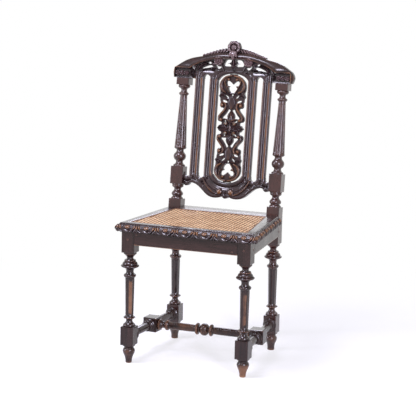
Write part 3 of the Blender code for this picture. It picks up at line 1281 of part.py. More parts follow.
def build_back():
    """Makes the raked back, in a frame that stands at the stiles' axes and the seat's top."""
    back_frame = bpy.data.objects.new("back_frame", None)
    bpy.context.collection.objects.link(back_frame)
    back_frame.location = Vector((0, LEG_DEPTH, SEAT_HEIGHT)) - ORIGIN
    back_frame.rotation_euler = (-BACK_RAKE, 0, 0)
    lower_rail("back_lower_rail", back_frame)
    upper_rail("back_upper_rail", back_frame)
    names = ("back_bar_outer_right", "back_bar_inner_right", "back_bar_inner_left", "back_bar_outer_left")
    for name, offset in zip(names, bar_offsets()):
        back_bar(name, offset, back_frame)
    centre_splat("centre_splat", back_frame)
    crest_hood("crest_hood", back_frame)
    crest_fretwork("crest_fretwork", back_frame)
    crest_cartouche("crest_cartouche", back_frame)
    for label, side in (("left", 1), ("right", -1)):
        frieze_block(f"frieze_block_{label}", side, back_frame)
        crest_spray(f"crest_spray_{label}", side, back_frame)


def main():
    """Clears the scene and builds the chair."""
    for old in list(bpy.data.objects):
        bpy.data.objects.remove(old)
    build_legs_and_seat()
    build_back()
    bpy.context.view_layer.update()


main()
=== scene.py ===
"""Dresses the carved side chair: its turned, moulded, carved and woven pieces, their finishes and a studio.

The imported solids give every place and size. Tables are in millimetres, as a maker would read them off the
chair, and become metres where a mesh is made. A back piece is drawn as (across, depth, up): across the
chair, behind the stiles' axes, and up the rake from the seat's top.
"""

import logging
import math
from collections.abc import Callable, Sequence
from dataclasses import dataclass
from enum import Enum

import bmesh
import bpy
import numpy as np
from mathutils import Matrix, Vector


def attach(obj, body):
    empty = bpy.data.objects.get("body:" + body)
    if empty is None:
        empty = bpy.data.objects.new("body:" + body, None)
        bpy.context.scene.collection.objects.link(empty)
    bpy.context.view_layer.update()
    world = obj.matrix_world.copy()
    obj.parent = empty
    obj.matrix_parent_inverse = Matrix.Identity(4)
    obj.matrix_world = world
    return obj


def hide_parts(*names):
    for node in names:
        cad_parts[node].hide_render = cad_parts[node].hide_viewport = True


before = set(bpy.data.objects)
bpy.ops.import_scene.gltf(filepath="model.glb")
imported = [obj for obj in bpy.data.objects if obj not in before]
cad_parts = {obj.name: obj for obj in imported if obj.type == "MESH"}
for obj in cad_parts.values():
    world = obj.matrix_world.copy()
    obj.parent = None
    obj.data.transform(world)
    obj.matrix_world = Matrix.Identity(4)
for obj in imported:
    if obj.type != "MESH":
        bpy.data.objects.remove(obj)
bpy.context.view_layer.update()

LOG = logging.getLogger("chair")
Form = bmesh.types.BMesh
Material = bpy.types.Material
Points = np.ndarray
Place = Callable[[Points], Points]
Line = Sequence[Sequence[float]]
Runs = tuple[Line, ...]

MM = 0.001
SEAT_HEIGHT = 460.0
LEG_DEPTH = 337.4  # from a front leg's axis back to a stile's
FRONT_SPREAD = 194.5  # from the chair's middle to a front leg's axis
REAR_SPREAD = 173.3
HALF_LEG = 21.5  # half the width of a leg's square blocks
ORIGIN_DEPTH = 191.516  # from a front leg's axis back to the chair's own origin
RAKE = math.radians(7.23)
KICK = 6.9  # how far a rear foot stands behind its stile's axis
KICK_TOP = 318.0  # the height where that kick begins
PLAY = 0.3  # between pieces that meet
PAST_MIDDLE = -30.0  # where a mirrored board's outline ends, past the line that it is mirrored about
CAP_TOP = 430.3  # where a stile ends, up the rake
RAIL_END = 139.7  # where the upper rail ends; its top edge follows
RAIL_TOP = ((RAIL_END, 455), (118.5, 455), (103.75, 459.5), (67.5, 461), (PAST_MIDDLE, 461))
SIDES = {1: "left", -1: "right"}  # from the sitter, whose left is at +X


def level_place(points: Points) -> Points:
    """Moves points from the front legs' axes to the chair's own origin, and turns millimetres to metres."""
    return (points - (0.0, ORIGIN_DEPTH, 0.0)) * MM


def back_place(points: Points) -> Points:
    """Leans points given as (across, depth, up) back by the rake and puts them on the seat.

    Args:
        points: as (across, depth, up), with the seat's top at 0.

    Returns:
        The points in the chair, in metres.
    """
    across, depth, up = points.T
    behind = depth * math.cos(RAKE) + up * math.sin(RAKE) + LEG_DEPTH
    height = up * math.cos(RAKE) - depth * math.sin(RAKE) + SEAT_HEIGHT
    return level_place(np.column_stack((across, behind, height)))


def stile_place(points: Points) -> Points:
    """Bends points that stand on a straight stile: kicked below the seat, upright at it and raked above.

    Args:
        points: as (across, depth, up), with the seat's top at 0.

    Returns:
        The points on the bent stile, in metres.
    """
    across, depth, up = points.T
    mitre = depth * math.tan(RAKE / 2)
    height = SEAT_HEIGHT + np.minimum(up, -mitre)
    kick = KICK * np.maximum(0.0, 1 - height / KICK_TOP)
    lower = level_place(np.column_stack((across, depth + LEG_DEPTH + kick, height)))
    upper = back_place(np.column_stack((across, depth, np.maximum(up, mitre))))
    return np.where((up > 0)[:, None], upper, lower)


def on_back(points: Points) -> tuple[Points, Points, Points]:
    """Returns how far points in the chair lie across, forward of the stiles' axes, and up the rake."""
    across, behind, above = (points / MM + (0.0, ORIGIN_DEPTH - LEG_DEPTH, -SEAT_HEIGHT)).T
    forward = above * math.sin(RAKE) - behind * math.cos(RAKE)
    return across, forward, above * math.cos(RAKE) + behind * math.sin(RAKE)


def held(values: Points) -> Points:
    """Returns values held between 0 and 1."""
    return np.clip(values, 0, 1)


def dome(*shares: Points) -> Points:
    """Returns the height of a round dome 1 high, at places given as shares of its radius."""
    return np.sqrt(held(1 - sum(share**2 for share in shares)))


def eased(share: Points) -> Points:
    """Returns shares held between 0 and 1, with a soft start and end."""
    share = held(share)
    return share * share * (3 - 2 * share)


def smooth(knots: Line, steps: int = 6, closed: bool = False) -> Points:
    """Draws a smooth line through points, all of which lie on it.

    Args:
        knots: the points, of any number of values each.
        steps: how many points the line has from one knot to the next.
        closed: whether it runs back to its start.

    Returns:
        The line's points; the last knot is left out of a closed line, as it is the first.
    """
    knots = np.asarray(knots, float)
    count = len(knots)
    index = np.arange(count if closed else count - 1)
    around = [index + shift for shift in (-1, 0, 1, 2)]
    before, here, after, beyond = (
        knots[place % count] if closed else knots[np.clip(place, 0, count - 1)] for place in around
    )
    share = np.linspace(0, 1, steps, endpoint=False)[:, None, None]
    bend = 2 * before - 5 * here + 4 * after - beyond
    swing = 3 * (here - after) + beyond - before
    line = here + 0.5 * share * (after - before + share * (bend + share * swing))
    line = line.transpose(1, 0, 2).reshape(-1, knots.shape[1])
    return line if closed else np.vstack((line, knots[-1:]))


def nearest(points: Points, line: Points) -> tuple[Points, Points]:
    """Finds how far points lie from an open line.

    Args:
        points: as (across, up).
        line: the line's points.

    Returns:
        Each point's distance, and its place along the line from 0 to 1.
    """
    distance = np.full(len(points), np.inf)
    share = np.zeros(len(points))
    for index, (start, end) in enumerate(zip(line, line[1:])):
        span = end - start
        along = held((points - start) @ span / max(span @ span, 1e-12))
        apart = np.hypot(*(points - start - along[:, None] * span).T)
        closer = apart < distance
        distance[closer] = apart[closer]
        share[closer] = (index + along[closer]) / (len(line) - 1)
    return distance, share


def outside(points: Points, loop: Points) -> Points:
    """Returns each point's distance from a closed outline, negative inside it.

    Args:
        points: as (across, up).
        loop: the outline's points.

    Returns:
        The distances.
    """
    distance, _ = nearest(points, np.vstack((loop, loop[:1])))
    crossings = np.zeros(len(points), int)
    for (x, y), (next_x, next_y) in zip(loop, np.roll(loop, -1, 0)):
        if y != next_y:
            between = (y > points[:, 1]) != (next_y > points[:, 1])
            crossings += between & (points[:, 0] < x + (points[:, 1] - y) * (next_x - x) / (next_y - y))
    return np.where(crossings % 2, -distance, distance)


def skin(rings: Points, looped: bool = False) -> Form:
    """Skins closed rings of points: a grid gets their places, and its seam and its ends are closed.

    Args:
        rings: as (ring, point, xyz), with the same number of points in each ring.
        looped: whether the last ring joins the first, as round a frame.

    Returns:
        The closed form.
    """
    if looped:
        rings = np.concatenate((rings, rings[:1]))
    rings = np.concatenate((rings, rings[:, :1]), axis=1)
    rows, columns = rings.shape[:2]
    builder = bmesh.new()
    bmesh.ops.create_grid(builder, x_segments=columns - 1, y_segments=rows - 1, size=1.0)
    for vert, place in zip(builder.verts, rings.reshape(-1, 3).tolist()):
        vert.co = place
    rim = {vert for edge in builder.edges if edge.is_boundary for vert in edge.verts}
    bmesh.ops.remove_doubles(builder, verts=list(rim), dist=1e-4)
    ends = [edge for edge in builder.edges if edge.is_boundary]
    if ends:
        bmesh.ops.holes_fill(builder, edges=ends, sides=0)
    return builder


def softened_box(low: Sequence[float], high: Sequence[float], soft: float = 1.2) -> Form:
    """Makes a box with rounded arrises, cut into a grid that its wear and its bends can follow.

    Args:
        low: its lowest corner.
        high: its highest corner.
        soft: the arrises' rounding.

    Returns:
        The closed form.
    """
    builder = bmesh.new()
    size = Vector(high) - Vector(low)
    middle = (Vector(high) + Vector(low)) / 2
    bmesh.ops.create_cube(builder, size=1.0,
                          matrix=Matrix.Translation(middle) @ Matrix.Diagonal((*size, 1.0)))
    bmesh.ops.bevel(builder, geom=builder.edges[:], offset=soft, offset_type="OFFSET", segments=2,
                    profile=0.5, affect="EDGES", material=-1)
    pitch = 5.0
    for axis in range(3):
        count = max(1, round(size[axis] / pitch))
        for step in range(1, count):
            plane = Vector(low)
            plane[axis] += size[axis] * step / count
            normal = Vector((0, 0, 0))
            normal[axis] = 1.0
            bmesh.ops.bisect_plane(builder, geom=builder.verts[:] + builder.edges[:] + builder.faces[:],
                                   plane_co=plane, plane_no=normal, dist=1e-4)
    return builder


class Piece:
    """One piece of the chair, gathered from closed forms, and then dressed, with its CAD node hidden."""

    def __init__(self, name: str) -> None:
        """Starts an empty piece."""
        self.name = name
        self.builder = bmesh.new()

    def add(self, form: Form, place: Place = level_place) -> None:
        """Adds a closed form, moved to its place in the chair, and frees it.

        Args:
            form: the form, in its own coordinates.
            place: turns its points into places in the chair.
        """
        mesh = bpy.data.meshes.new("form")
        form.to_mesh(mesh)
        form.free()
        points = np.empty(len(mesh.vertices) * 3)
        mesh.vertices.foreach_get("co", points)
        mesh.vertices.foreach_set("co", place(points.reshape(-1, 3)).ravel())
        self.builder.from_mesh(mesh)
        bpy.data.meshes.remove(mesh)

    def finish(self, material: Material, node: str,
               rub: Place | None = None, crisp: float = 38.0, keen: float | Place = 3.0,
               tops: Material | None = None) -> None:
        """Makes the object, marks where it is worn, and ties it to the node that it stands for.

        Args:
            material: its finish.
            node: the CAD node that it replaces.
            rub: gives extra wear for points in the chair, from -1 in a hollow to 1 on bare wood; some pieces
                also use it to paint light and shade.
            crisp: edges sharper than this many degrees are shaded as arrises.
            keen: arrises of this radius in millimetres or less are fully worn; it may depend on the place.
            tops: the finish of its level upper faces, where it has another.
        """
        bmesh.ops.recalc_face_normals(self.builder, faces=self.builder.faces)
        mesh = bpy.data.meshes.new(self.name)
        self.builder.to_mesh(mesh)
        self.builder.free()
        mesh.shade_smooth()
        mesh.set_sharp_from_angle(angle=math.radians(crisp))
        mark_wear_and_shade(mesh, rub, keen)
        mesh.materials.append(material)
        if tops:
            mesh.materials.append(tops)
            for face in mesh.polygons:
                face.material_index = int(face.normal.z > 0.97)
        piece = bpy.data.objects.new(self.name, mesh)
        bpy.context.collection.objects.link(piece)
        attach(piece, "root")
        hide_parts(node)
        LOG.info("%s: %d faces for %s", self.name, len(mesh.polygons), node)


def mark_wear_and_shade(mesh: bpy.types.Mesh, rub: Place | None, keen: float | Place) -> None:
    """Stores in the attribute "wear" how far each point stands proud (+) or lies in a hollow (-).

    Hands and dusters wear the proud edges. Where a point lies in a hollow, its negative value paints shade
    there.

    Args:
        mesh: the mesh to mark.
        rub: extra wear for points in the chair, which on some pieces also paints light and shade.
        keen: the radius in millimetres from which an arris is fully worn.
    """
    count = len(mesh.vertices)
    points, normals = np.empty(count * 3), np.empty(count * 3)
    mesh.vertices.foreach_get("co", points)
    mesh.vertex_normals.foreach_get("vector", normals)
    points, normals = points.reshape(-1, 3), normals.reshape(-1, 3)
    ends = np.empty(len(mesh.edges) * 2, np.int32)
    mesh.edges.foreach_get("vertices", ends)
    first, last = ends.reshape(-1, 2).T
    step = points[last] - points[first]
    length = np.maximum(np.linalg.norm(step, axis=1), 1e-6)
    degree = np.maximum(np.bincount(ends, minlength=count), 1)
    proud = np.bincount(last, np.einsum("ij,ij->i", normals[last], step) / length, count)
    proud -= np.bincount(first, np.einsum("ij,ij->i", normals[first], step) / length, count)
    reach = (np.bincount(first, length, count) + np.bincount(last, length, count)) / degree
    keen = keen(points) if callable(keen) else keen
    wear = np.clip(proud / degree / reach * keen * MM, -1, 1)
    for _ in range(2):
        around = np.bincount(first, wear[last], count) + np.bincount(last, wear[first], count)
        wear = (wear + around / degree) / 2
    if rub is not None:
        wear += rub(points)
    # the "wear" attribute holds rubbed wear where it is positive, and painted shade for the hollows where it
    # is negative
    layer = mesh.attributes.new("wear", "FLOAT", "POINT")
    layer.data.foreach_set("value", np.clip(wear, -1, 1).astype(np.float32))


class Section(Enum):
    """How a turned length is cut round its axis."""

    ROUND = "round"
    FACETED = "eight slightly hollow facets"
    REEDED = "eight broad reeds parted by grooves"


@dataclass(frozen=True)
class Turning:
    """A length of turning: smooth runs of (distance, radius) that meet in crisp lines.

    The facets or reeds of a cut section fade out towards its ends, and are set out by eye, so they may be
    turned a little from the square blocks.
    """

    runs: Runs
    section: Section = Section.ROUND
    points: int = 48
    fade: float = 5.0
    turned: float = 0.0

    def profile(self) -> Points:
        """Returns the whole profile as (distance, radius)."""
        runs = []
        for run in self.runs:
            line = smooth(run)
            line[:, 0] = np.maximum.accumulate(line[:, 0])
            runs.append(line)
        return np.vstack(runs)

    def cut(self, angles: Points) -> Points:
        """Returns the share of the radius that the section leaves at each angle.

        Args:
            angles: directions from the axis.

        Returns:
            The shares.
        """
        angles = angles - self.turned
        if self.section is Section.FACETED:
            turn = (angles + math.pi / 8) % (math.pi / 4) - math.pi / 8
            return math.cos(math.pi / 8) / np.cos(turn) * (1.02 - 0.03 * np.cos(4 * turn))
        if self.section is Section.REEDED:
            place = np.abs((angles * 8 / math.tau) % 1 * 2 - 1)
            return 1 - 0.17 * (1 - place) ** 3.2
        return np.ones_like(angles)

    def form(self) -> Form:
        """Returns the closed form, round the third axis."""
        profile = self.profile()
        angles = np.arange(self.points) * math.tau / self.points
        low, high = profile[0, 0], profile[-1, 0]
        inward = np.minimum(profile[:, 0] - low, high - profile[:, 0])
        depth = eased(inward / self.fade)[:, None]
        radii = profile[:, 1:] * (1 + (self.cut(angles)[None] - 1) * depth)
        heights = np.broadcast_to(profile[:, :1], radii.shape)
        return skin(np.stack((radii * np.cos(angles), radii * np.sin(angles), heights), axis=2))


def upside_down(runs: Runs, top: float) -> Runs:
    """Returns a turning measured down from a height as one measured up."""
    return tuple(
        tuple((top - distance, radius) for distance, radius in reversed(run)) for run in reversed(runs)
    )


def both_ways(runs: Runs, middle: float) -> Runs:
    """Returns a turning measured out from a middle as one that runs through it."""
    return upside_down(runs, middle) + tuple(
        tuple((middle + distance, radius) for distance, radius in run) for run in runs
    )


def shifted(runs: Runs, start: float) -> Runs:
    """Returns a turning that starts at another distance."""
    return tuple(tuple((start + distance, radius) for distance, radius in run) for run in runs)


def straight(low: float, high: float, start: float, end: float) -> Line:
    """Returns a straight taper as points about 3 mm apart."""
    count = max(2, round((high - low) / 3))
    return np.column_stack((np.linspace(low, high, count), np.linspace(start, end, count))).tolist()


class Tool(Enum):
    """What a carving stroke leaves."""

    ROUND = "a rounded rib"
    HOLLOW = "a scooped leaf with raised edges"
    VEINED = "a leaf with a raised vein and edges"
    GROOVE = "a groove"


@dataclass(frozen=True)
class Stroke:
    """A carved stroke along a smooth line: half widths along it, and its height above its own base."""

    path: Line
    widths: Sequence[float]
    height: float
    tool: Tool = Tool.ROUND
    base: float = 0.0

    def carve(self, points: Points, heights: Points) -> Points:
        """Returns the heights of points after the stroke.

        Args:
            points: as (across, up).
            heights: their heights before it.

        Returns:
            The new heights.
        """
        line = smooth(self.path, 5) if len(self.path) > 1 else np.asarray(list(self.path) * 2, float)
        reach = max(self.widths)
        near = np.all((points > line.min(0) - reach) & (points < line.max(0) + reach), axis=1)
        distance, share = nearest(points[near], line)
        places = np.linspace(0, 1, len(self.widths))
        ratio = distance / np.maximum(np.interp(share, places, self.widths), 1e-3)
        inside = ratio < 1
        shape = dome(ratio)
        if self.tool is Tool.HOLLOW:
            shape = np.minimum(0.35 + 0.75 * ratio**2, 3.5 * (1 - ratio) + 0.2)
        elif self.tool is Tool.VEINED:
            shape = np.minimum(0.45 + 0.35 * np.cos(ratio * 2.2 * math.pi), 3.5 * (1 - ratio) + 0.2)
        result = heights.copy()
        if self.tool is Tool.GROOVE:
            result[near] -= np.where(inside, shape * self.height, 0)
        else:
            risen = self.base + shape * self.height
            result[near] = np.where(inside, np.maximum(heights[near], risen), heights[near])
        return result


@dataclass(frozen=True)
class Relief:
    """A carved board: an outline with piercings, with a flat back and a carved front.

    Its sizes are (across, up). A field that folds about its middle lines is drawn only on one side.
    """

    outline: Points
    holes: tuple[Points, ...]
    strokes: tuple[Stroke, ...]
    front: float
    back: float
    pitch: float = 0.9
    soft: float = 1.0
    middle: float | None = None
    ground: Place | None = None

    def fold(self, points: Points) -> Points:
        """Folds points to the right of the middle, and up from the level middle where there is one.

        Args:
            points: as (across, up).

        Returns:
            The places where the board is drawn.
        """
        folded = np.column_stack((np.abs(points[:, 0]), points[:, 1]))
        if self.middle is not None:
            folded[:, 1] = np.abs(points[:, 1] - self.middle)
        return folded

    def field(self, points: Points) -> Points:
        """Returns how far points lie outside the board's wood, negative inside it.

        Args:
            points: as (across, up).

        Returns:
            The distances.
        """
        folded = self.fold(points)
        distance = outside(folded, self.outline)
        for hole in self.holes:
            distance = np.maximum(distance, -outside(folded, hole))
        return distance

    def relief(self, points: Points, depth_in: Points) -> Points:
        """Returns the front's height above the board's ground at points.

        Args:
            points: as (across, up).
            depth_in: how far each lies inside the wood's edge.

        Returns:
            The heights, below 0 where the edge is rounded off.
        """
        folded = self.fold(points)
        heights = self.ground(folded) if self.ground else np.zeros(len(points))
        for stroke in self.strokes:
            heights = stroke.carve(folded, heights)
        return heights + self.soft * (dome(1 - held(depth_in / self.soft)) - 1)

    def form(self) -> Form:
        """Returns the closed form, as (across, depth, up)."""
        span = max(abs(self.outline[:, 0].min()), abs(self.outline[:, 0].max())) + self.pitch
        low_up, high_up = self.outline[:, 1].min() - self.pitch, self.outline[:, 1].max() + self.pitch
        if self.middle is not None:
            low_up, high_up = self.middle - high_up, self.middle + high_up
        low_across = -span if self.outline[:, 0].min() < 1 else self.outline[:, 0].min() - self.pitch
        low, high = np.array((low_across, low_up)), np.array((span, high_up))
        cells = np.ceil((high - low) / self.pitch).astype(int)
        builder = bmesh.new()
        bmesh.ops.create_grid(builder, x_segments=int(cells[0]), y_segments=int(cells[1]), size=1.0)
        flat = low + (np.array([vert.co[:2] for vert in builder.verts]) + 1) / 2 * (high - low)
        corners = np.array([[vert.index for vert in face.verts] for face in builder.faces])
        gone = self.field(flat[corners].mean(axis=1)) > 0
        for vert, place in zip(builder.verts, flat.tolist()):
            vert.co = (*place, 0)
        cut_away = [face for face, away in zip(builder.faces, gone) if away]
        bmesh.ops.delete(builder, geom=cut_away, context="FACES")
        rim = list({vert for edge in builder.edges if edge.is_boundary for vert in edge.verts})
        self.pull_to_edge(rim)
        beside = {vert for edge_vert in rim for face in edge_vert.link_faces for vert in face.verts}
        bmesh.ops.smooth_vert(builder, verts=list(beside - set(rim)), factor=0.5, use_axis_x=True,
                              use_axis_y=True)
        flat = np.array([vert.co[:2] for vert in builder.verts])
        heights = self.relief(flat, -self.field(flat))
        for vert, (across, up), height in zip(builder.verts, flat.tolist(), heights.tolist()):
            vert.co = (across, self.front - height, up)
        grown = bmesh.ops.extrude_face_region(builder, geom=builder.faces[:], use_keep_orig=True)
        for item in grown["geom"]:
            if isinstance(item, bmesh.types.BMVert):
                item.co.y = self.back
        return builder

    def pull_to_edge(self, rim: list[bmesh.types.BMVert]) -> None:
        """Moves the grid's stepped rim onto the drawn edge.

        Args:
            rim: the points of the rim.
        """
        points = np.array([vert.co[:2] for vert in rim])
        start = points.copy()
        reach = self.pitch / 20
        for _ in range(3):
            away = self.field(points)
            slope = np.column_stack([
                self.field(points + step) - self.field(points - step) for step in np.eye(2) * reach
            ]) / (2 * reach)
            steep = np.maximum((slope**2).sum(axis=1), 0.3)
            points = points - (away / steep)[:, None] * slope
        move = points - start
        length = np.maximum(np.hypot(*move.T), 1e-9)
        points = start + move * np.minimum(1, 0.9 * self.pitch / length)[:, None]
        for vert, place in zip(rim, points.tolist()):
            vert.co = (*place, 0)


@dataclass(frozen=True)
class Finishes:
    """The materials that the sub-assemblies are dressed in."""

    stained: Material
    stained_across: Material
    stained_deep: Material
    rubbed: Material
    carved: Material
    carved_across: Material
    carved_deep: Material
    carved_crest: Material
    plain: Material
    polished: Material
    peg: Material
    cane: Material
    binding: Material


@dataclass
class Legs:
    """The front legs and the rear stiles: turned lengths between square blocks.

    A row of bleached says which front leg's facets are bleached, which way they face and how far they
    reach to both sides in degrees, and how worn they are. A row of keenness says between which heights
    above the seat's top arrises are fully worn from which radius.
    """

    finishes: Finishes
    stretcher_block: tuple[float, float] = (60, 120.5)
    front_block: tuple[float, float] = (363, 432.7)
    rear_block: tuple[float, float] = (363, 485.5)
    back_block: tuple[float, float] = (75, 134)
    cap_block: tuple[float, float] = (407.0, CAP_TOP)
    rear_tip_grows: float = 2.0
    foot: Runs = (
        ((0, 8.4), (0.8, 9.6), (3, 10.2), (12, 10.9), (22, 13.6), (31, 17.6), (39, 19.8),
         (45, 18.7), (49.4, 15.6)),
        ((49.5, 14.8), (52.6, 14.6)),
        ((52.7, 15.6), (55, 18), (57.4, 20.4), (60.5, 20.9)),
    )
    above_block: Runs = (
        ((120, 18.6), (122, 19.6), (125, 19.9), (128.6, 18.2)),
        ((128.8, 16.6), (133, 12.6), (139.5, 10), (145, 11.8), (146.6, 13.6)),
        ((146.7, 16), (149.6, 19.2), (152.6, 16.6)),
        ((152.7, 14.4), (154.8, 12.9), (156.6, 12.6)),
    )
    shaft: tuple[float, ...] = (156.5, 278, 12.9, 14.9)
    below_seat: Runs = (
        ((277.5, 14.2), (281, 14.6)),
        ((281.2, 16.4), (284.4, 18.9), (288, 19.7), (291.6, 17.4), (292.6, 15.4)),
        ((292.8, 14), (297, 12.4), (303, 12.1), (308.5, 14.2), (312.6, 19)),
        ((312.8, 20.6), (315, 26.4), (318.3, 29.3), (321, 27.8), (322.2, 25)),
        ((322.3, 23.4), (325.2, 24.4), (329.2, 22.6), (332.4, 19.4), (333.6, 17.8)),
        ((333.8, 17.4), (336.4, 18.6), (339, 16.6)),
        ((339.2, 13), (343, 10.5), (348.6, 11.6), (354.4, 16.8), (357.6, 19.6)),
        ((357.7, 20.6), (363.5, 20.8)),
    )
    seat_baluster: Runs = (
        ((25, 20.4), (28, 20.4)),
        ((28.1, 19.4), (30.6, 18), (33.4, 15.2), (35.4, 15)),
        ((35.5, 17.2), (38.4, 18.8), (42, 19.6), (47, 17.6), (53, 12.6), (57.4, 11.4), (61.4, 13.2),
         (63.6, 15.4)),
        ((63.7, 17.4), (66.4, 19), (69, 19.2), (71.2, 18)),
        ((71.3, 20.2), (75.4, 20.4)),
    )
    back_baluster: Runs = (
        ((133.6, 20), (136, 20.4), (138.6, 19.6), (140.6, 17.8)),
        ((140.8, 16), (145, 12.8), (150, 11.8), (154.6, 13.6)),
        ((154.7, 15.8), (161, 19.8), (168, 21), (175, 19), (182, 13.4), (187.6, 11.9),
         (191.4, 13.6)),
        ((191.5, 16), (194, 19.2), (197.4, 20.4), (200.4, 19.4)),
    )
    column: tuple[float, ...] = (200, 366, 19.8, 11.9)
    facets_turned: float = -11.0
    bleached: tuple[tuple[float, ...], ...] = ((-1, 34, 21, 0.66), (1, 2, 12, 0.24), (1, 32, 14, 0.42))
    keenness: tuple[tuple[float, ...], ...] = (
        (-402, -338, 1.4), (-304, -182, 1.2), (-98, 26, 1.4), (74, 135, 1.4), (200, 366, 3.4),
        (406, 432, 1.4),
    )
    column_top: Runs = (
        ((365, 11.6), (372, 11.8)),
        ((372.1, 13.4), (375.4, 16), (378.4, 16.6), (381.4, 14.8)),
        ((381.6, 12.6), (386, 10.2), (391, 10), (395.4, 12.6)),
        ((395.5, 15.6), (399, 18.8), (402.4, 20.2), (405.4, 19.4), (407.4, 18.6)),
    )

    def build(self) -> None:
        """Builds the four legs."""
        for side in SIDES:
            self.front_leg(side)
            self.rear_stile(side)

    def lower_forms(self, tip_grows: float, seat_block: tuple[float, float]) -> list[Form]:
        """Returns the forms of a leg below the seat.

        Args:
            tip_grows: how much thicker than a front foot's the foot's tip is.
            seat_block: the lowest and the highest point of the block at the seat.

        Returns:
            The turned lengths and the blocks, from the floor up.
        """
        tip, *rest = self.foot
        tip = tuple((z, r + tip_grows * max(0.0, 1 - z / 25)) for z, r in tip)
        turnings = (Turning((tip, *rest)), Turning(self.above_block),
                    self.cut_length(self.shaft, Section.FACETED, 64, 4.0), Turning(self.below_seat))
        return [turning.form() for turning in turnings] + self.blocks(self.stretcher_block, seat_block)

    def cut_length(self, taper: tuple[float, ...], section: Section, points: int, fade: float) -> Turning:
        """Returns a straight taper, given as (low, high, low radius, high radius), with a cut section."""
        return Turning((straight(*taper),), section, points, fade, math.radians(self.facets_turned))

    def blocks(self, *spans: tuple[float, float]) -> list[Form]:
        """Returns square blocks between pairs of heights."""
        return [
            softened_box((-HALF_LEG, -HALF_LEG, low), (HALF_LEG, HALF_LEG, high)) for low, high in spans
        ]

    def front_leg(self, side: int) -> None:
        """Builds a front leg.

        Args:
            side: 1 on the sitter's left, -1 on the right.
        """
        leg = Piece(f"turned_front_leg_{SIDES[side]}")
        shift = (side * FRONT_SPREAD, 0, 0)
        for form in self.lower_forms(0.0, self.front_block):
            leg.add(form, lambda points: level_place(points + shift))
        leg.finish(self.finishes.stained, f"front_leg_{SIDES[side]}", rub=self.worn, keen=self.keen)

    def rear_stile(self, side: int) -> None:
        """Builds a rear stile, bent at the seat.

        Args:
            side: 1 on the sitter's left, -1 on the right.
        """
        stile = Piece(f"turned_rear_stile_{SIDES[side]}")
        for form in self.lower_forms(self.rear_tip_grows, self.rear_block):
            stile.add(form, lambda points: stile_place(points + (side * REAR_SPREAD, 0, -SEAT_HEIGHT)))
        upper = (Turning(self.seat_baluster), Turning(self.back_baluster), Turning(self.column_top),
                 self.cut_length(self.column, Section.REEDED, 128, 6.0))
        for form in [turning.form() for turning in upper] + self.blocks(self.back_block, self.cap_block):
            stile.add(form, lambda points: stile_place(points + (side * REAR_SPREAD, 0, 0)))
        stile.finish(self.finishes.rubbed, f"rear_stile_{SIDES[side]}", rub=self.worn, keen=self.keen)

    def keen(self, points: Points) -> Points:
        """Returns the radius from which arrises are fully worn, most of them and those in keenness.

        Args:
            points: places in the chair.

        Returns:
            The radii in millimetres.
        """
        level = points[:, 2] / MM - SEAT_HEIGHT
        _, _, raked = on_back(points)
        up = np.where(level > 0, raked, level)
        radius = np.full(len(points), 5.8)
        for low, high, least in self.keenness:
            radius[(up > low) & (up < high)] = least
        return radius

    def worn(self, points: Points) -> Points:
        """Returns the legs' extra wear, bleached facets on the front shafts and scuffed tips of the feet,
        and a darkening of the rear shafts between their blocks.

        Args:
            points: places in the chair.

        Returns:
            The wear and the darkening.
        """
        across, depth, height = (points / MM + (0.0, ORIGIN_DEPTH, 0.0)).T
        low, high = self.shaft[:2]
        between = held(np.minimum(height - low, high - height) / 15) * (depth < 60)
        wear = 0.14 * held(2 - height / 30)
        wear += 0.42 * held(2.2 - height / 20) * (depth < 60) * (across > 0)
        for side, facing, half, amount in self.bleached:
            aside = across - side * FRONT_SPREAD
            turn = np.degrees(np.arctan2(aside, -depth)) - facing
            inside = held((half + 3 - np.abs((turn + 180) % 360 - 180)) / 5)
            wear += amount * between * inside * (np.abs(aside) < 40)
        # the rear shafts are darkened between their blocks, into the hollows' colour
        return wear - 0.28 * (depth > 200) * (height > low) * (height < high)


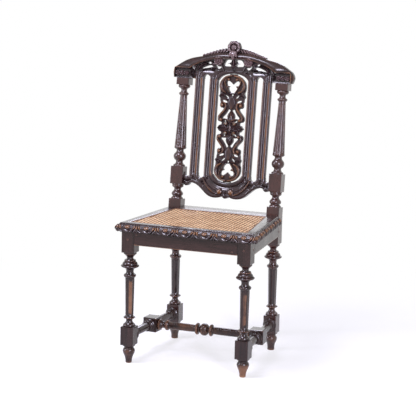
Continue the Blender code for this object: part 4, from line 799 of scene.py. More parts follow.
@dataclass
class Stretchers:
    """The two side stretchers and the cross stretcher between their middle blocks."""

    finishes: Finishes
    height: float = 90.25
    half_block: float = 23.4
    side_end: Runs = (
        ((0, 19.6), (1.4, 21.6), (3.2, 22.6), (5.2, 22), (8.8, 17.4)),
        ((8.9, 15.4), (11.6, 17.2), (14.4, 17.4), (18, 15)),
        ((18.1, 13.6), (24, 12), (31, 11.2), (36, 12.2), (42, 12.6), (62, 13.2)),
    )
    side_middle: Runs = (
        ((23, 18.6), (25.4, 21), (28.4, 21.2), (31.2, 18.4)),
        ((31.3, 15.4), (34, 12.4), (37, 12.3), (39.8, 14)),
        ((39.9, 15.8), (42.4, 18), (45, 17.4), (46.6, 15)),
        ((46.7, 13.4), (52, 13), (62, 13.2)),
    )
    cross_end: Runs = (
        ((0, 17), (3, 18.2), (7, 17.4)),
        ((7.1, 15.8), (12, 12), (18, 10.7), (23, 11.8)),
        ((23.1, 14), (27, 16.6), (31, 17.3), (34.6, 15.4)),
        ((34.7, 13), (37, 12), (46, 12.2), (62, 12.5), (80, 12.5)),
    )
    cross_middle: Runs = (
        ((0, 20.2), (4, 19.8), (9, 17.6), (13.4, 12.8)),
        ((13.5, 10.6), (16, 9.2), (18.8, 9.8)),
        ((18.9, 13.4), (21, 18.4), (24.2, 19.8), (27.4, 18.2), (29.6, 14.6)),
        ((29.7, 13.4), (34, 12), (43, 12.2), (52, 12.5), (68, 12.5), (80, 12.5)),
    )

    def build(self) -> None:
        """Builds the three stretchers."""
        for side in SIDES:
            self.side_stretcher(side)
        self.cross_stretcher()

    def side_line(self, side: int) -> tuple[Points, Points]:
        """Returns a side stretcher's axis, from the front leg's axis to the rear leg's."""
        rear = LEG_DEPTH + KICK * (1 - self.height / KICK_TOP)
        return (np.array((side * FRONT_SPREAD, 0, self.height)),
                np.array((side * REAR_SPREAD, rear, self.height)))

    def along(self, start: Points, end: Points) -> Place:
        """Returns what lays points that stand on the third axis along a level line.

        Args:
            start: the line's start.
            end: its end.

        Returns:
            A function of points on the third axis.
        """
        direction = (end - start) / np.linalg.norm(end - start)
        across = np.array((direction[1], -direction[0], 0.0))
        axes = np.array((across, (0.0, 0.0, 1.0), direction))
        return lambda points: level_place(points @ axes + start)

    def side_stretcher(self, side: int) -> None:
        """Builds a side stretcher, with a square block in its middle.

        Args:
            side: 1 on the sitter's left, -1 on the right.
        """
        start, end = self.side_line(side)
        length = float(np.linalg.norm(end - start))
        place = self.along(start, end)
        inset = HALF_LEG + 0.2
        piece = Piece(f"turned_side_stretcher_{SIDES[side]}")
        near = Turning(shifted(self.side_end, inset) + upside_down(self.side_middle, length / 2))
        far = Turning(shifted(self.side_middle, length / 2) + upside_down(self.side_end, length - inset))
        half = self.half_block
        block = softened_box((-half, -half, length / 2 - half), (half, half, length / 2 + half))
        for form in (near.form(), far.form(), block):
            piece.add(form, place)
        piece.finish(self.finishes.stained_deep, f"side_stretcher_{SIDES[side]}", keen=3.8,
                     tops=self.finishes.polished)

    def cross_stretcher(self) -> None:
        """Builds the cross stretcher, with a ball between two collars in its middle."""
        start, end = (np.mean(self.side_line(side), axis=0) for side in (-1, 1))
        length = float(np.linalg.norm(end - start))
        inset = self.half_block + 0.4
        runs = shifted(self.cross_end, inset) + both_ways(self.cross_middle, length / 2)
        runs += upside_down(self.cross_end, length - inset)
        piece = Piece("turned_cross_stretcher")
        piece.add(Turning(runs).form(), self.along(start, end))
        piece.finish(self.finishes.stained_across, "cross_stretcher",
                     rub=lambda points: 0.22, keen=4.0)


@dataclass
class Seat:
    """The seat's rails, moulded boards, woven cane, binding strip and pegs."""

    finishes: Finishes
    front_half: float = 220.5
    rear_half: float = 191.0
    front_edge: float = -16.5
    rear_edge: float = 360.0
    cane_front_half: float = 197.0
    cane_rear_half: float = 161.0
    cane_front: float = 3.0
    cane_rear: float = 293.0
    stile_front: float = 315.6
    stile_inner: float = 151.8
    rail_bottom: float = 390.0
    rail_top: float = 432.7
    half_rail: float = 11.0
    rear_rail_depth: float = 345.4
    board_thick: float = 27.0
    lip: float = 5.6
    lunette_pitch: float = 65.0
    cane_pitch: float = 12.7
    cane_pair: float = 1.45
    cane_width: float = 2.3
    cane_drop: float = 3.0
    cane_sag: float = 1.2
    peg_radius: float = 3.2
    peg_height: float = 406.5
    rail_pegs: tuple[tuple[str, float, float], ...] = (("right", -166.5, 423.5), ("left", 156.0, 399.0))

    def build(self) -> None:
        """Builds the whole seat."""
        self.rails()
        self.front_board()
        for side in SIDES:
            self.side_board(side)
        self.rear_board()
        self.cane()
        self.binding()
        self.pegs()

    def cane_half(self, depth: Points | float) -> Points | float:
        """Returns the half width of the cane's opening at a depth."""
        share = (depth - self.cane_front) / (self.cane_rear - self.cane_front)
        return self.cane_front_half + share * (self.cane_rear_half - self.cane_front_half)

    def rails(self) -> None:
        """Builds the four seat rails, flush with the legs."""
        low, high, thick = self.rail_bottom, self.rail_top, self.half_rail
        for where, spread, depth in (("front", FRONT_SPREAD, thick - HALF_LEG),
                                     ("rear", REAR_SPREAD, self.rear_rail_depth)):
            rail = Piece(f"plain_{where}_rail")
            half = spread - HALF_LEG - PLAY
            rail.add(softened_box((-half, depth - thick, low), (half, depth + thick, high)))
            rail.finish(self.finishes.stained_across, f"{where}_seat_rail", rub=self.worn_rail)
        for side, label in SIDES.items():
            rail = Piece(f"plain_side_rail_{label}")

            def lay(points: Points) -> Points:
                """Slants the rail from the front leg's outer face to the rear one's."""
                share = (points[:, 1] - HALF_LEG) / (LEG_DEPTH - 2 * HALF_LEG)
                middle = FRONT_SPREAD + HALF_LEG + share * (REAR_SPREAD - FRONT_SPREAD) - thick
                return level_place(np.column_stack((points[:, 0] + side * middle, points[:, 1:])))

            rail.add(softened_box((-thick, HALF_LEG + PLAY, low), (thick, self.stile_front, high)), lay)
            rail.finish(self.finishes.stained_deep, f"side_seat_rail_{label}",
                        rub=self.worn_rail)

    def worn_rail(self, points: Points) -> Points:
        """Returns the wear along a rail's lower arris."""
        return 0.36 * held(2 - (points[:, 2] / MM - self.rail_bottom) / 1.5)

    def section(self) -> tuple[Points, Points]:
        """Draws a board's section, from its inner rebate over its top to the carved edge.

        Returns:
            Points as (1 outside or 0 inside, reach, drop), and how far each lies below the carved
            moulding's top in millimetres, or -1 elsewhere.
        """
        inner = [(0, -7, self.board_thick), (0, -7, 4.5), (0, -0.1, 4.5), (0, 0, 4.4), (0, 0, 0.7),
                 (0, 0.2, 0.2), (0, 0.7, 0)]
        top = [(1, -4, 0), (1, 0.6, 0.1), (1, 1.8, 0.5), (1, 2.5, 1.4), (1, 2.8, 2.6), (1, 2.8, 5.2),
               (1, 3.2, self.lip)]
        nose = smooth(((3.3, 5.7), (6.6, 6.2), (10.4, 8.4), (12.7, 12), (13.1, 16), (12.4, 20),
                       (10.2, 23.8), (5, 26.9)), 4)
        edge = np.column_stack((np.ones(len(nose)), nose))
        points = np.vstack((inner, top, edge, [(1, 4.4, self.board_thick)]))
        down = np.full(len(points), -1.0)
        down[len(inner) + len(top):-1] = nose[:, 1] - self.lip
        return points, down

    def lunettes(self, along: Points, down: Points) -> Points:
        """Returns the height of the moulding's carving.

        Each bowl holds an egg under a round rim, and between two bowls stand their outer ribs and a dart.

        Args:
            along: places along the moulding.
            down: places down it.

        Returns:
            Heights in millimetres.
        """
        half = self.lunette_pitch / 2
        aside = np.abs((along + half) % self.lunette_pitch - half)
        reach = np.hypot(aside / 27, down / 19.5)
        bowl = -6.0 * dome((down - 8) / 10.5) * (1 - held(reach / 0.86) ** 6)
        egg = 6.8 * dome(aside / (14 - 0.6 * down), (down - 7) / 8.4) - 4.9
        flare = 3.6 * held((down - 6) / 11)
        rim = (4.2 + flare) * dome((reach - 0.94) / 0.12) - 2.6
        rib = (4.4 + flare) * dome((reach - 1.26) / 0.16) - 3.4
        dart = (4.4 + flare) * dome((half - aside) / 3.8) * (down > 4) - 3.4
        height = np.where(reach < 0.84, np.maximum.reduce((bowl, egg, rim)),
                          np.maximum.reduce((rim, rib, dart)))
        return np.where(down >= 0, height * held(down / 0.8) * held((21.3 - down) / 1.6), 0)

    def carving_wear_and_shade(self, outward: Points, side: int = 1) -> Place:
        """Returns what gives the wear on the carving's upper half, where hands and knees rub, and the
        painted shade in its bowls.

        Args:
            outward: the level direction that the board's edge faces.
            side: 1 on the sitter's left, -1 on the right.

        Returns:
            A function of points in the chair.
        """
        axis = np.array((-outward[1], outward[0], 0.0))

        def rub(points: Points) -> Points:
            """Returns the wear and the painted shade at points."""
            level = (points / MM + (0.0, ORIGIN_DEPTH, 0.0)) * (side, 1, 1)
            down = SEAT_HEIGHT - level[:, 2] - self.lip
            height = self.lunettes(level @ axis, down)
            proud = 0.42 * held((height + 1.3) / 1.2) * held((12 - down) / 6)
            # the deepest parts of the bowls get painted shade: their value drops below zero, into the
            # hollows' colour
            return np.where(down > 0.8, proud - 0.34 * held(-2.6 - height) + 0.06, 0)

        return rub

    def mitre(self) -> Points:
        """Returns the section where a front and a side board meet on the sitter's left."""
        section, _ = self.section()
        inner = np.array((self.cane_front_half, self.cane_front))
        outer = np.array((self.front_half, self.front_edge))
        outward = (outer - inner) / (self.cane_front - self.front_edge)
        place = np.where(section[:, :1] > 0, outer, inner) + outward * section[:, 1:2]
        return np.column_stack((place, SEAT_HEIGHT - section[:, 2]))

    def board(self, start: Points, end: Points, stations: int, outward: Points) -> Form:
        """Makes a moulded board between two sections, with its edge carved.

        Args:
            start: the section at its first end.
            end: the section at its other end.
            stations: how many rings it has.
            outward: the level direction that its edge faces.

        Returns:
            The closed form.
        """
        _, down = self.section()
        shares = np.linspace(0, 1, stations)[:, None, None]
        rings = start * (1 - shares) + end * shares
        nose = np.flatnonzero(down >= 0)
        along_axis = np.array((-outward[1], outward[0], 0.0))
        along = rings @ along_axis
        length = np.abs((end - start) @ along_axis)
        fade = held(np.minimum(shares[:, :, 0], 1 - shares[:, :, 0]) * length / 4)
        height = self.lunettes(along, np.broadcast_to(down, along.shape)) * fade
        slope = np.gradient(rings[0][nose], axis=0)
        normal = np.zeros_like(rings[0])
        sideways = slope @ outward
        steep = np.hypot(sideways, slope[:, 2])
        normal[nose] = (-slope[:, 2:] * outward + sideways[:, None] * np.array((0, 0, 1.0))) / steep[:, None]
        return skin(rings + height[:, :, None] * normal)

    def front_board(self) -> None:
        """Builds the front board, mitred at both ends."""
        ring = self.mitre() - (0.2, 0, 0)
        outward = np.array((0.0, -1.0, 0.0))
        form = self.board(ring, ring * (-1, 1, 1), 520, outward)
        piece = Piece("moulded_board_front")
        piece.add(form)
        piece.finish(self.finishes.carved_across, "seat_board_front",
                     rub=self.carving_wear_and_shade(outward), keen=0.7, tops=self.finishes.polished)

    def side_board(self, side: int) -> None:
        """Builds a side board, from its mitre to the stile.

        Args:
            side: 1 on the sitter's left, -1 on the right.
        """
        section, _ = self.section()
        edge = np.where(section[:, 0] > 0, self.rear_half, self.cane_half(self.stile_front)) + section[:, 1]
        rear = np.column_stack((edge, np.full(len(edge), self.stile_front), SEAT_HEIGHT - section[:, 2]))
        outward = np.array((self.stile_front - self.front_edge, self.front_half - self.rear_half, 0.0))
        outward /= np.linalg.norm(outward)
        form = self.board(self.mitre() + (0, 0.2, 0), rear, 400, outward)
        piece = Piece(f"moulded_board_{SIDES[side]}")
        piece.add(form, lambda points: level_place(points * (side, 1, 1)))
        piece.finish(self.finishes.carved_deep, f"seat_board_{SIDES[side]}",
                     rub=self.carving_wear_and_shade(outward, side), keen=0.7, tops=self.finishes.polished)

    def rear_board(self) -> None:
        """Builds the flat rear board between the stiles."""
        piece = Piece("plain_board_rear")
        half = self.cane_half(self.cane_rear) - 0.4
        low = SEAT_HEIGHT - self.board_thick
        piece.add(softened_box((-half, self.cane_rear, low), (half, self.stile_front, SEAT_HEIGHT), 0.9))
        inner = self.stile_inner - PLAY
        piece.add(softened_box((-inner, self.stile_front - 1, low + 0.02),
                               (inner, self.rear_edge, SEAT_HEIGHT - 0.02), 0.9))
        piece.finish(self.finishes.stained_across, "seat_board_rear", tops=self.finishes.polished)

    def strand(self, start: Points, end: Points, width: float, lift: float, wave: float) -> Form:
        """Makes one flat, crowned strand of cane, woven over and under.

        Args:
            start: its first end, as (across, depth).
            end: its other end.
            width: its width.
            lift: its height above the panel's middle layer.
            wave: how far it rises and falls; its sign says which crossing it starts over.

        Returns:
            The closed form.
        """
        length = float(np.hypot(*(end - start)))
        rows = max(3, round(length / self.cane_pitch * 2) + 1)
        shares = np.linspace(0, 1, rows)[:, None]
        line = start * (1 - shares) + end * shares
        direction = (end - start) / length
        aside = np.array((-direction[1], direction[0])) * width / 2
        v = held((line[:, 1] - self.cane_front) / (self.cane_rear - self.cane_front))
        u = held(line[:, 0] / self.cane_half(line[:, 1]) / 2 + 0.5)
        place = (line @ direction) / self.cane_pitch * math.pi
        sag = self.cane_sag * 16 * u * (1 - u) * v * (1 - v)
        level = SEAT_HEIGHT - self.cane_drop + lift + wave * np.cos(place) - sag
        ring = [(1, 0), (0.4, 0.55), (-0.4, 0.55), (-1, 0), (0, -0.3)]
        rings = [np.column_stack((line + aside * reach, level + rise)) for reach, rise in ring]
        return skin(np.stack(rings, axis=1))

    def clipped(self, point: Points, direction: Points) -> tuple[Points, Points] | None:
        """Cuts a line to the cane's opening, or returns None where it misses it.

        Args:
            point: a place on the line, as (across, depth).
            direction: the way it runs.

        Returns:
            Its two ends, or None.
        """
        inset = 1.5
        slant = (self.cane_front_half - self.cane_rear_half) / (self.cane_rear - self.cane_front)
        sides = (((0, -1), -(self.cane_front + inset)), ((0, 1), self.cane_rear - inset),
                 ((1, slant), self.cane_front_half - inset + slant * self.cane_front),
                 ((-1, slant), self.cane_front_half - inset + slant * self.cane_front))
        low, high = -np.inf, np.inf
        for normal, limit in sides:
            rate, room = float(np.dot(normal, direction)), limit - float(np.dot(normal, point))
            if abs(rate) < 1e-9:
                if room < 0:
                    return None
            elif rate > 0:
                high = min(high, room / rate)
            else:
                low = max(low, room / rate)
        return (point + low * direction, point + high * direction) if high - low > 8 else None

    def cane(self) -> None:
        """Weaves the cane: pairs of strands both ways, with diagonals through them."""
        piece = Piece("woven_cane")
        pitch, middle = self.cane_pitch, (self.cane_front + self.cane_rear) / 2
        for step in range(-16, 17):
            for pair, wave in ((-self.cane_pair, 0.5), (self.cane_pair, -0.5)):
                for start, direction, lift in (((step * pitch + pair, middle), (0, 1), 0.35),
                                               ((0, middle + step * pitch + pair), (1, 0), -0.35)):
                    ends = self.clipped(np.array(start), np.array(direction))
                    if ends:
                        turned = wave * (1 - 2 * (step % 2))
                        piece.add(self.strand(*ends, self.cane_width, lift, turned))
        for step in range(-30, 31):
            for lean in (1, -1):
                start = np.array(((step + 0.5) * pitch, middle))
                ends = self.clipped(start, np.array((lean, 1.0)) / math.sqrt(2))
                if ends:
                    piece.add(self.strand(*ends, self.cane_width + 0.2, 0.45 * lean, 0.12))
        piece.finish(self.finishes.cane, "cane_panel", crisp=20)

    def binding(self) -> None:
        """Builds the strip of wide cane that covers the panel's edge."""
        rings = []
        ring = [(0.3, -1.7), (0.3, -1), (1.2, -0.2), (2.55, 0.1), (3.9, -0.2), (4.8, -1), (4.8, -1.7)]
        for side in range(4):
            for step in range(24):
                share = step / 24
                points = []
                for inset, height in ring:
                    front, rear = self.cane_front + inset, self.cane_rear - inset
                    wide, narrow = self.cane_half(front) - inset, self.cane_half(rear) - inset
                    corners = np.array(((wide, front), (narrow, rear), (-narrow, rear), (-wide, front)))
                    place = corners[side] * (1 - share) + corners[(side + 1) % 4] * share
                    points.append((*place, SEAT_HEIGHT + height))
                rings.append(points)
        piece = Piece("binding_strip")
        piece.add(skin(np.array(rings), looped=True))
        piece.finish(self.finishes.binding, "cane_binding")

    def pegs(self) -> None:
        """Builds the pegs' domed heads and shanks."""
        height, half, radius = self.peg_height, HALF_LEG, self.peg_radius
        ends = {}
        for side, label in SIDES.items():
            for where, depth, spread, outward in (("front", 0.0, FRONT_SPREAD, -1),
                                                  ("rear", LEG_DEPTH, REAR_SPREAD, 1)):
                ends[f"{where}_leg_peg_{label}"] = (
                    (side * spread, depth + outward * half, height), (0, outward, 0), 21)
                ends[f"{where}_side_peg_{label}"] = (
                    (side * (spread + half), depth - outward * (half - self.half_rail), height),
                    (side, 0, 0), 21)
        for label, across, up in self.rail_pegs:
            ends[f"front_rail_peg_{label}"] = ((across, -half, up), (0, -1, 0), 27)
        for node, (centre, outward, length) in ends.items():
            runs = (((-length, radius), (-1.0, radius)), ((-1.0, radius), (0.1, radius)),
                    ((0.1, radius - 0.05), (0.5, 2.8), (0.9, 1.6), (1.05, 0.05)))
            turn = np.array(Vector((0, 0, 1)).rotation_difference(Vector(outward)).to_matrix()).T
            piece = Piece(f"turned_{node}")
            piece.add(Turning(runs, points=16).form(), lambda points: level_place(points @ turn + centre))
            piece.finish(self.finishes.peg, node)


def arch(centre: float, half: float, spring: float, rise: float, level: float) -> list[tuple[float, float]]:
    """Draws an opening's elliptical end, from its left side to its right side.

    Args:
        centre: its middle across.
        half: half its width.
        spring: the height where the curve starts.
        rise: the curve's height, negative at an opening's bottom.
        level: the height where its sides start.

    Returns:
        Points as (across, up).
    """
    lift = (level - spring) / rise
    start = math.asin(lift) if lift > 0 else 0.0
    angles = np.linspace(math.pi - start, start, 25)
    points = [(centre + half * math.cos(turn), spring + rise * math.sin(turn)) for turn in angles]
    return points if lift >= 0 else [(centre - half, level), *points, (centre + half, level)]


def ball(across: float, up: float, radius: float, height: float, base: float = 0.0) -> Stroke:
    """Returns a carved ball, such as the eye of a scroll."""
    return Stroke(((across, up),), (radius,), height, base=base)


def raised(start: float, full: float, most: float) -> Place:
    """Returns what lightens a carved back piece by how far it stands forward of the stiles' axes: wear on
    the rails and the splat, and a painted highlight on the crest.

    Args:
        start: where the lightening starts.
        full: where it is full.
        most: the lightening there.

    Returns:
        A function of points in the chair.
    """
    def rub(points: Points) -> Points:
        """Returns the lightening at points."""
        _, forward, _ = on_back(points)
        return most * held((forward - start) / (full - start))

    return rub


def crest_painted_light(ground: float, front: float) -> Place:
    """Returns what paints the crest's light and shade: a painted highlight on its foremost carving, and
    painted shade on its ground.

    Args:
        ground: how far forward its darkest ground lies.
        front: how far forward its most highlighted places lie.

    Returns:
        A function of points in the chair.
    """
    # raised() here paints a highlight on the foremost carving, and the 0.2 taken off paints shade on the
    # ground
    rubbed = raised(ground, front, 0.68)
    return lambda points: rubbed(points) - 0.2


@dataclass
class Back:
    """The back between the stiles: its two rails, four reeded bars and the pierced splat."""

    finishes: Finishes
    inner_bar: float = 67.5
    outer_bar: float = 118.5
    half_bar: float = 14.75
    half_opening: float = 52.75
    opening_low: float = 128.0
    opening_fall: float = 37.0
    opening_high: float = 425.0
    opening_rise: float = 28.0
    slot_bottom: float = 101.5
    slot_top: float = 446.0
    gap_bottom: float = 103.0
    gap_edge: float = 149.3
    shoulder_low: float = 116.0
    shoulder_high: float = 431.0
    shoulder_lap: float = 1.2
    splat_middle: float = 272.0
    splat_stretch: float = 0.992
    lower_edge: Line = (
        (151.5, 77.6), (149, 76.5), (144, 72.5), (138, 72.2), (132.5, 76), (129, 81.2),
        (122, 83.2), (111, 81), (100, 75.7), (90, 68.2), (80, 59.5), (70, 50.5), (60, 44),
        (50, 40.3), (36, 38.8), (22, 40.8), (12, 44.5), (6.2, 40), (0, 38.2),
    )
    groove: float = -5.0
    lower_strokes: tuple[Stroke, ...] = (
        Stroke(((150, 81), (138, 79), (126, 87), (112, 86), (98, 80), (84, 69), (70, 57), (54, 48), (38, 45),
                (22, 47), (12, 51)), (4, 5, 5, 5, 5, 5, 5, 5, 5, 5, 3), 3.4, base=3.2),
        Stroke(((84, 105), (77, 92), (68, 78), (56, 66), (43, 57), (30, 52), (19, 50)),
               (1.5, 4.2, 5, 5, 4.6, 4, 3), 7.0, base=2.4),
        Stroke(((74, 107), (68, 94), (59, 82), (49, 73), (38, 67), (28, 63)),
               (1.5, 3.4, 4.2, 4, 3.2, 1.5), 5.2, base=2.4),
        Stroke(((99, 92), (92, 84), (82, 78), (72, 80)), (2, 5, 5, 2), 3.6, Tool.HOLLOW, 3.6),
        Stroke(((128, 102), (122, 96), (108, 92), (96, 88)), (2, 4, 4, 2), 3.4, Tool.HOLLOW, 3.4),
        ball(20, 60, 10.6, 8, 5), ball(140.5, 79, 8.5, 5, 3.4),
        Stroke(((0, 36), (0, 45), (0, 56), (0, 66)), (2.5, 5, 4, 1), 5.4, Tool.VEINED, 4.0),
    )
    upper_strokes: tuple[Stroke, ...] = (
        Stroke(((0, 459.5), (30, 459.5), (48, 459.5)), (1.8, 1.8), 2.4, base=4.0),
    )
    splat_edge: Line = (
        (13, 181), (13, 177), (20, 175.5), (30, 169.5), (38, 161), (43.5, 152),
        (46, 140), (45.2, 128), (42.5, 120), (43, 113), (46.2, 105.5), (42.5, 100),
        (41.8, 92), (40, 86),
        (41.2, 80), (40.5, 72), (36, 67.5), (30, 67.2), (27.8, 63), (32, 56), (38.5, 48.5),
        (44.2, 41), (46.5, 34), (46, 27.5), (42.5, 22.5), (36, 20.5), (31.8, 18), (33, 12.5),
        (38.5, 10.2), (41, 6), (46.5, 0),
    )
    splat_ring: Line = (
        (0, 147), (4.5, 151.5), (10, 155.5), (16.5, 158), (21.2, 156), (22.2, 149), (19, 143),
        (12.2, 140.2), (15.2, 135), (14, 129), (10.2, 123), (5, 119), (0, 118),
    )
    splat_bud: Line = (
        (3, 59), (8, 63.5), (12, 61), (15.5, 54), (21, 45.5), (26.5, 39), (29.5, 35),
        (26.2, 31.2), (22, 32.2), (19, 32.8), (13, 31.8), (12.2, 34.5), (13.2, 40), (10.8, 47.5),
        (6.2, 54),
    )
    splat_ovals: tuple[tuple[float, ...], ...] = (
        (18, 105.5, 8.5, 2.4, 42), (25, 89.5, 9.2, 3.4, 20), (17.2, 20.5, 9.2, 2.6, 52),
        (0, 111.2, 3.3, 3.3, 0),
    )
    splat_strokes: tuple[Stroke, ...] = (
        Stroke(((4, 174), (14, 172), (26, 168), (36, 159), (40.5, 148), (40, 136), (34, 125), (22, 118)),
               (3, 4.5, 6, 7, 7.5, 7.5, 6, 2.5), 8),
        Stroke(((12, 164), (22, 163), (27.5, 155), (26, 146), (21, 137), (17, 128), (11, 119)),
               (2, 2.6, 2.8, 2.8, 2.8, 2.6, 2), 7),
        ball(14, 161, 5.5, 9.6), ball(15.5, 137.5, 4.2, 8),
        Stroke(((6, 114), (20, 111), (34, 109), (45.5, 105)), (3, 4.5, 5, 1), 4.0, Tool.VEINED, 1.5),
        Stroke(((30, 126), (38, 118), (45, 107)), (3, 6, 2), 4.6, Tool.HOLLOW, 1.0),
        Stroke(((0, 66), (0, 80), (0, 97)), (3, 12.5, 9), 2.6, base=3.2),
        Stroke(((27, 86), (23, 93), (14, 97)), (2.5, 3, 2), 5.4),
        ball(33, 76, 7.6, 10.5),
        Stroke(((33, 85), (24, 84), (19.5, 76), (20.5, 65), (28, 54), (36, 44.5), (41, 36), (39, 27)),
               (3.2, 4, 4.4, 4.6, 4.8, 4.8, 4.4, 3.6), 7.8),
        ball(32.5, 27.5, 6.8, 10.5),
        Stroke(((0, 16), (0, 30), (0, 43), (0, 59)), (5, 9, 8, 1.5), 5.0, Tool.VEINED, 2.0),
        Stroke(((5, 26), (13, 29), (22, 32)), (3, 3.6, 1.5), 5.6, base=1.0),
        ball(15, 16, 7.2, 11.5),
        Stroke(((8, 2), (22, 5), (34, 6), (45.5, 0.5)), (5, 6, 5.5, 1), 4.2, Tool.VEINED, 2.0),
        Stroke(((0, 0), (0, 9)), (6, 4), 7.0),
    )

    def build(self) -> None:
        """Builds the rails, the bars and the splat."""
        self.lower_rail()
        self.upper_rail()
        for side, label in SIDES.items():
            for where, offset in (("inner", self.inner_bar), ("outer", self.outer_bar)):
                self.bar(f"{where}_{label}", side * offset)
        self.splat()

    def spaces(self) -> tuple[tuple[float, float], tuple[float, float]]:
        """Returns the middle and half width of the slot between the bars, and of the end gap."""
        slot = (self.inner_bar + self.outer_bar) / 2
        inner, outer = self.outer_bar + self.half_bar, self.gap_edge
        return (slot, slot - self.inner_bar - self.half_bar), ((inner + outer) / 2, (outer - inner) / 2)

    def openings(self) -> list[Points]:
        """Returns the outlines of the middle opening, the slot between two bars and the gap by the stile."""
        loops = []
        for centre, half, low, fall, high, rise in (
                (0.0, self.half_opening, self.opening_low, self.opening_fall, self.opening_high,
                 self.opening_rise),
                *((middle, half, bottom + half, half, self.slot_top - half, half)
                  for (middle, half), bottom in zip(self.spaces(), (self.slot_bottom, self.gap_bottom)))):
            top = arch(centre, half, high, rise, high)
            loops.append(np.array(arch(centre, half, low, -fall, low) + top[::-1]))
        loops[2][loops[2][:, 1] > 400, 1] += 60
        return loops

    def reeded(self, points: Points) -> Points:
        """Returns the height above the groove of the reed round each opening, and of the cove beyond it.

        Args:
            points: as (across, up).

        Returns:
            The heights.
        """
        apart = np.clip(np.minimum.reduce([outside(points, loop) for loop in self.openings()]), 0, None)
        reed = self.half_bar / 2
        height = np.where(apart < self.half_bar, 5 * dome(apart / reed - 1),
                          5.4 * eased((apart - self.half_bar) / 11))
        across, up = points.T
        risen = held((up - 438) / 23)
        shoulder = held((across - 46) / 28) * held((134 - across) / 44)
        return height + (5.0 - 6.6 * risen**2 - height) * eased(held(risen * 3) * shoulder)

    def reed_wear_and_light(self, points: Points) -> Points:
        """Returns the reeds' lighter bands, wear together with painted light on one side: broad on the
        sitter's right of an opening, and thin on its other side.

        Args:
            points: places in the chair.

        Returns:
            The wear.
        """
        across, forward, up = on_back(points)
        loops = self.openings()
        apart = np.array([outside(np.column_stack((np.abs(across), up)), loop) for loop in loops])
        nearest_loop = apart.argmin(axis=0)
        middles = np.array([(loop[:, 0].min() + loop[:, 0].max()) / 2 for loop in loops])[nearest_loop]
        place = np.clip(apart.min(axis=0), 0, None) / self.half_bar
        beyond = held(0.5 + np.sign(across) * (np.abs(across) - middles) / 12)
        # the broad and thin bands are wear together with painted light on the reeds' lit sides
        broad = 0.4 * held(1.6 - np.abs(place - 0.42) / 0.2)
        thin = 0.5 * held((0.38 - place) / 0.16)
        rubbed = held((up - 96) / 24) * held((446 - up) / 20)
        return np.where(forward > 3, ((1 - beyond) * broad + beyond * thin) * rubbed, 0) * (place < 1)

    def lower_rail(self) -> None:
        """Builds the shaped lower rail."""
        slot, gap = self.spaces()
        level = self.shoulder_low + self.shoulder_lap
        top = [(PAST_MIDDLE, self.opening_low - self.opening_fall)]
        top += arch(0.0, self.half_opening, self.opening_low, -self.opening_fall, level)[12:]
        top += arch(*slot, self.slot_bottom + slot[1], -slot[1], level)
        top += arch(*gap, self.gap_bottom + gap[1], -gap[1], level)
        edge = self.lower_edge
        low = [(edge[0][0], level), *smooth(edge, 5), (PAST_MIDDLE, edge[-1][1])]
        worn = raised(11.4, 17, 0.5)
        self.rail("carved_lower_rail", "back_lower_rail", np.array([*top, *low]), self.lower_strokes,
                  lambda points: worn(points) + self.reed_wear_and_light(points))

    def upper_rail(self) -> None:
        """Builds the upper rail, arched over the openings."""
        slot, _ = self.spaces()
        level = self.shoulder_high - self.shoulder_lap
        low = [(PAST_MIDDLE, self.opening_high + self.opening_rise)]
        low += arch(0.0, self.half_opening, self.opening_high, self.opening_rise, level)[12:]
        low += arch(*slot, self.slot_top - slot[1], slot[1], level)
        outline = np.array([*low, (RAIL_END, level), *RAIL_TOP])
        self.rail("arched_upper_rail", "back_upper_rail", outline, self.upper_strokes, self.reed_wear_and_light)

    def rail(self, name: str, node: str, outline: Points, strokes: tuple[Stroke, ...], rub: Place) -> None:
        """Builds a rail with reeds that follow the openings, and strokes carved over them.

        Args:
            name: the piece's name.
            node: the CAD node that it replaces.
            outline: its outline, as (across, up).
            strokes: the carving.
            rub: its extra wear.
        """
        piece = Piece(name)
        board = Relief(outline, (), strokes, self.groove, 10.0, pitch=1.2, ground=self.reeded)
        piece.add(board.form(), back_place)
        piece.finish(self.finishes.carved_across, node, rub=rub, keen=1.0)

    def bar(self, place: str, offset: float) -> None:
        """Builds an upright bar with two rounded reeds.

        Args:
            place: which bar it is, as the CAD names it.
            offset: how far its middle stands from the chair's.
        """
        half, reed = self.half_bar, self.half_bar / 2
        ring = [(-half + 1, 8), (0, 8), (half - 1, 8), (half, 7), (half, 0)]
        for centre in (reed, -reed):
            for turn in np.linspace(0.0, math.pi, 14)[:-1]:
                ring.append((centre + reed * math.cos(turn), self.groove - 5.0 * math.sin(turn)))
        ring += [(-half, self.groove), (-half, 0), (-half, 7)]
        rings = [[(offset + across, depth, up) for across, depth in ring]
                 for up in np.linspace(self.shoulder_low, self.shoulder_high, 64)]
        piece = Piece(f"reeded_bar_{place}")
        piece.add(skin(np.array(rings)), back_place)
        piece.finish(self.finishes.carved, f"back_bar_{place}", rub=self.reed_wear_and_light, keen=1.0)

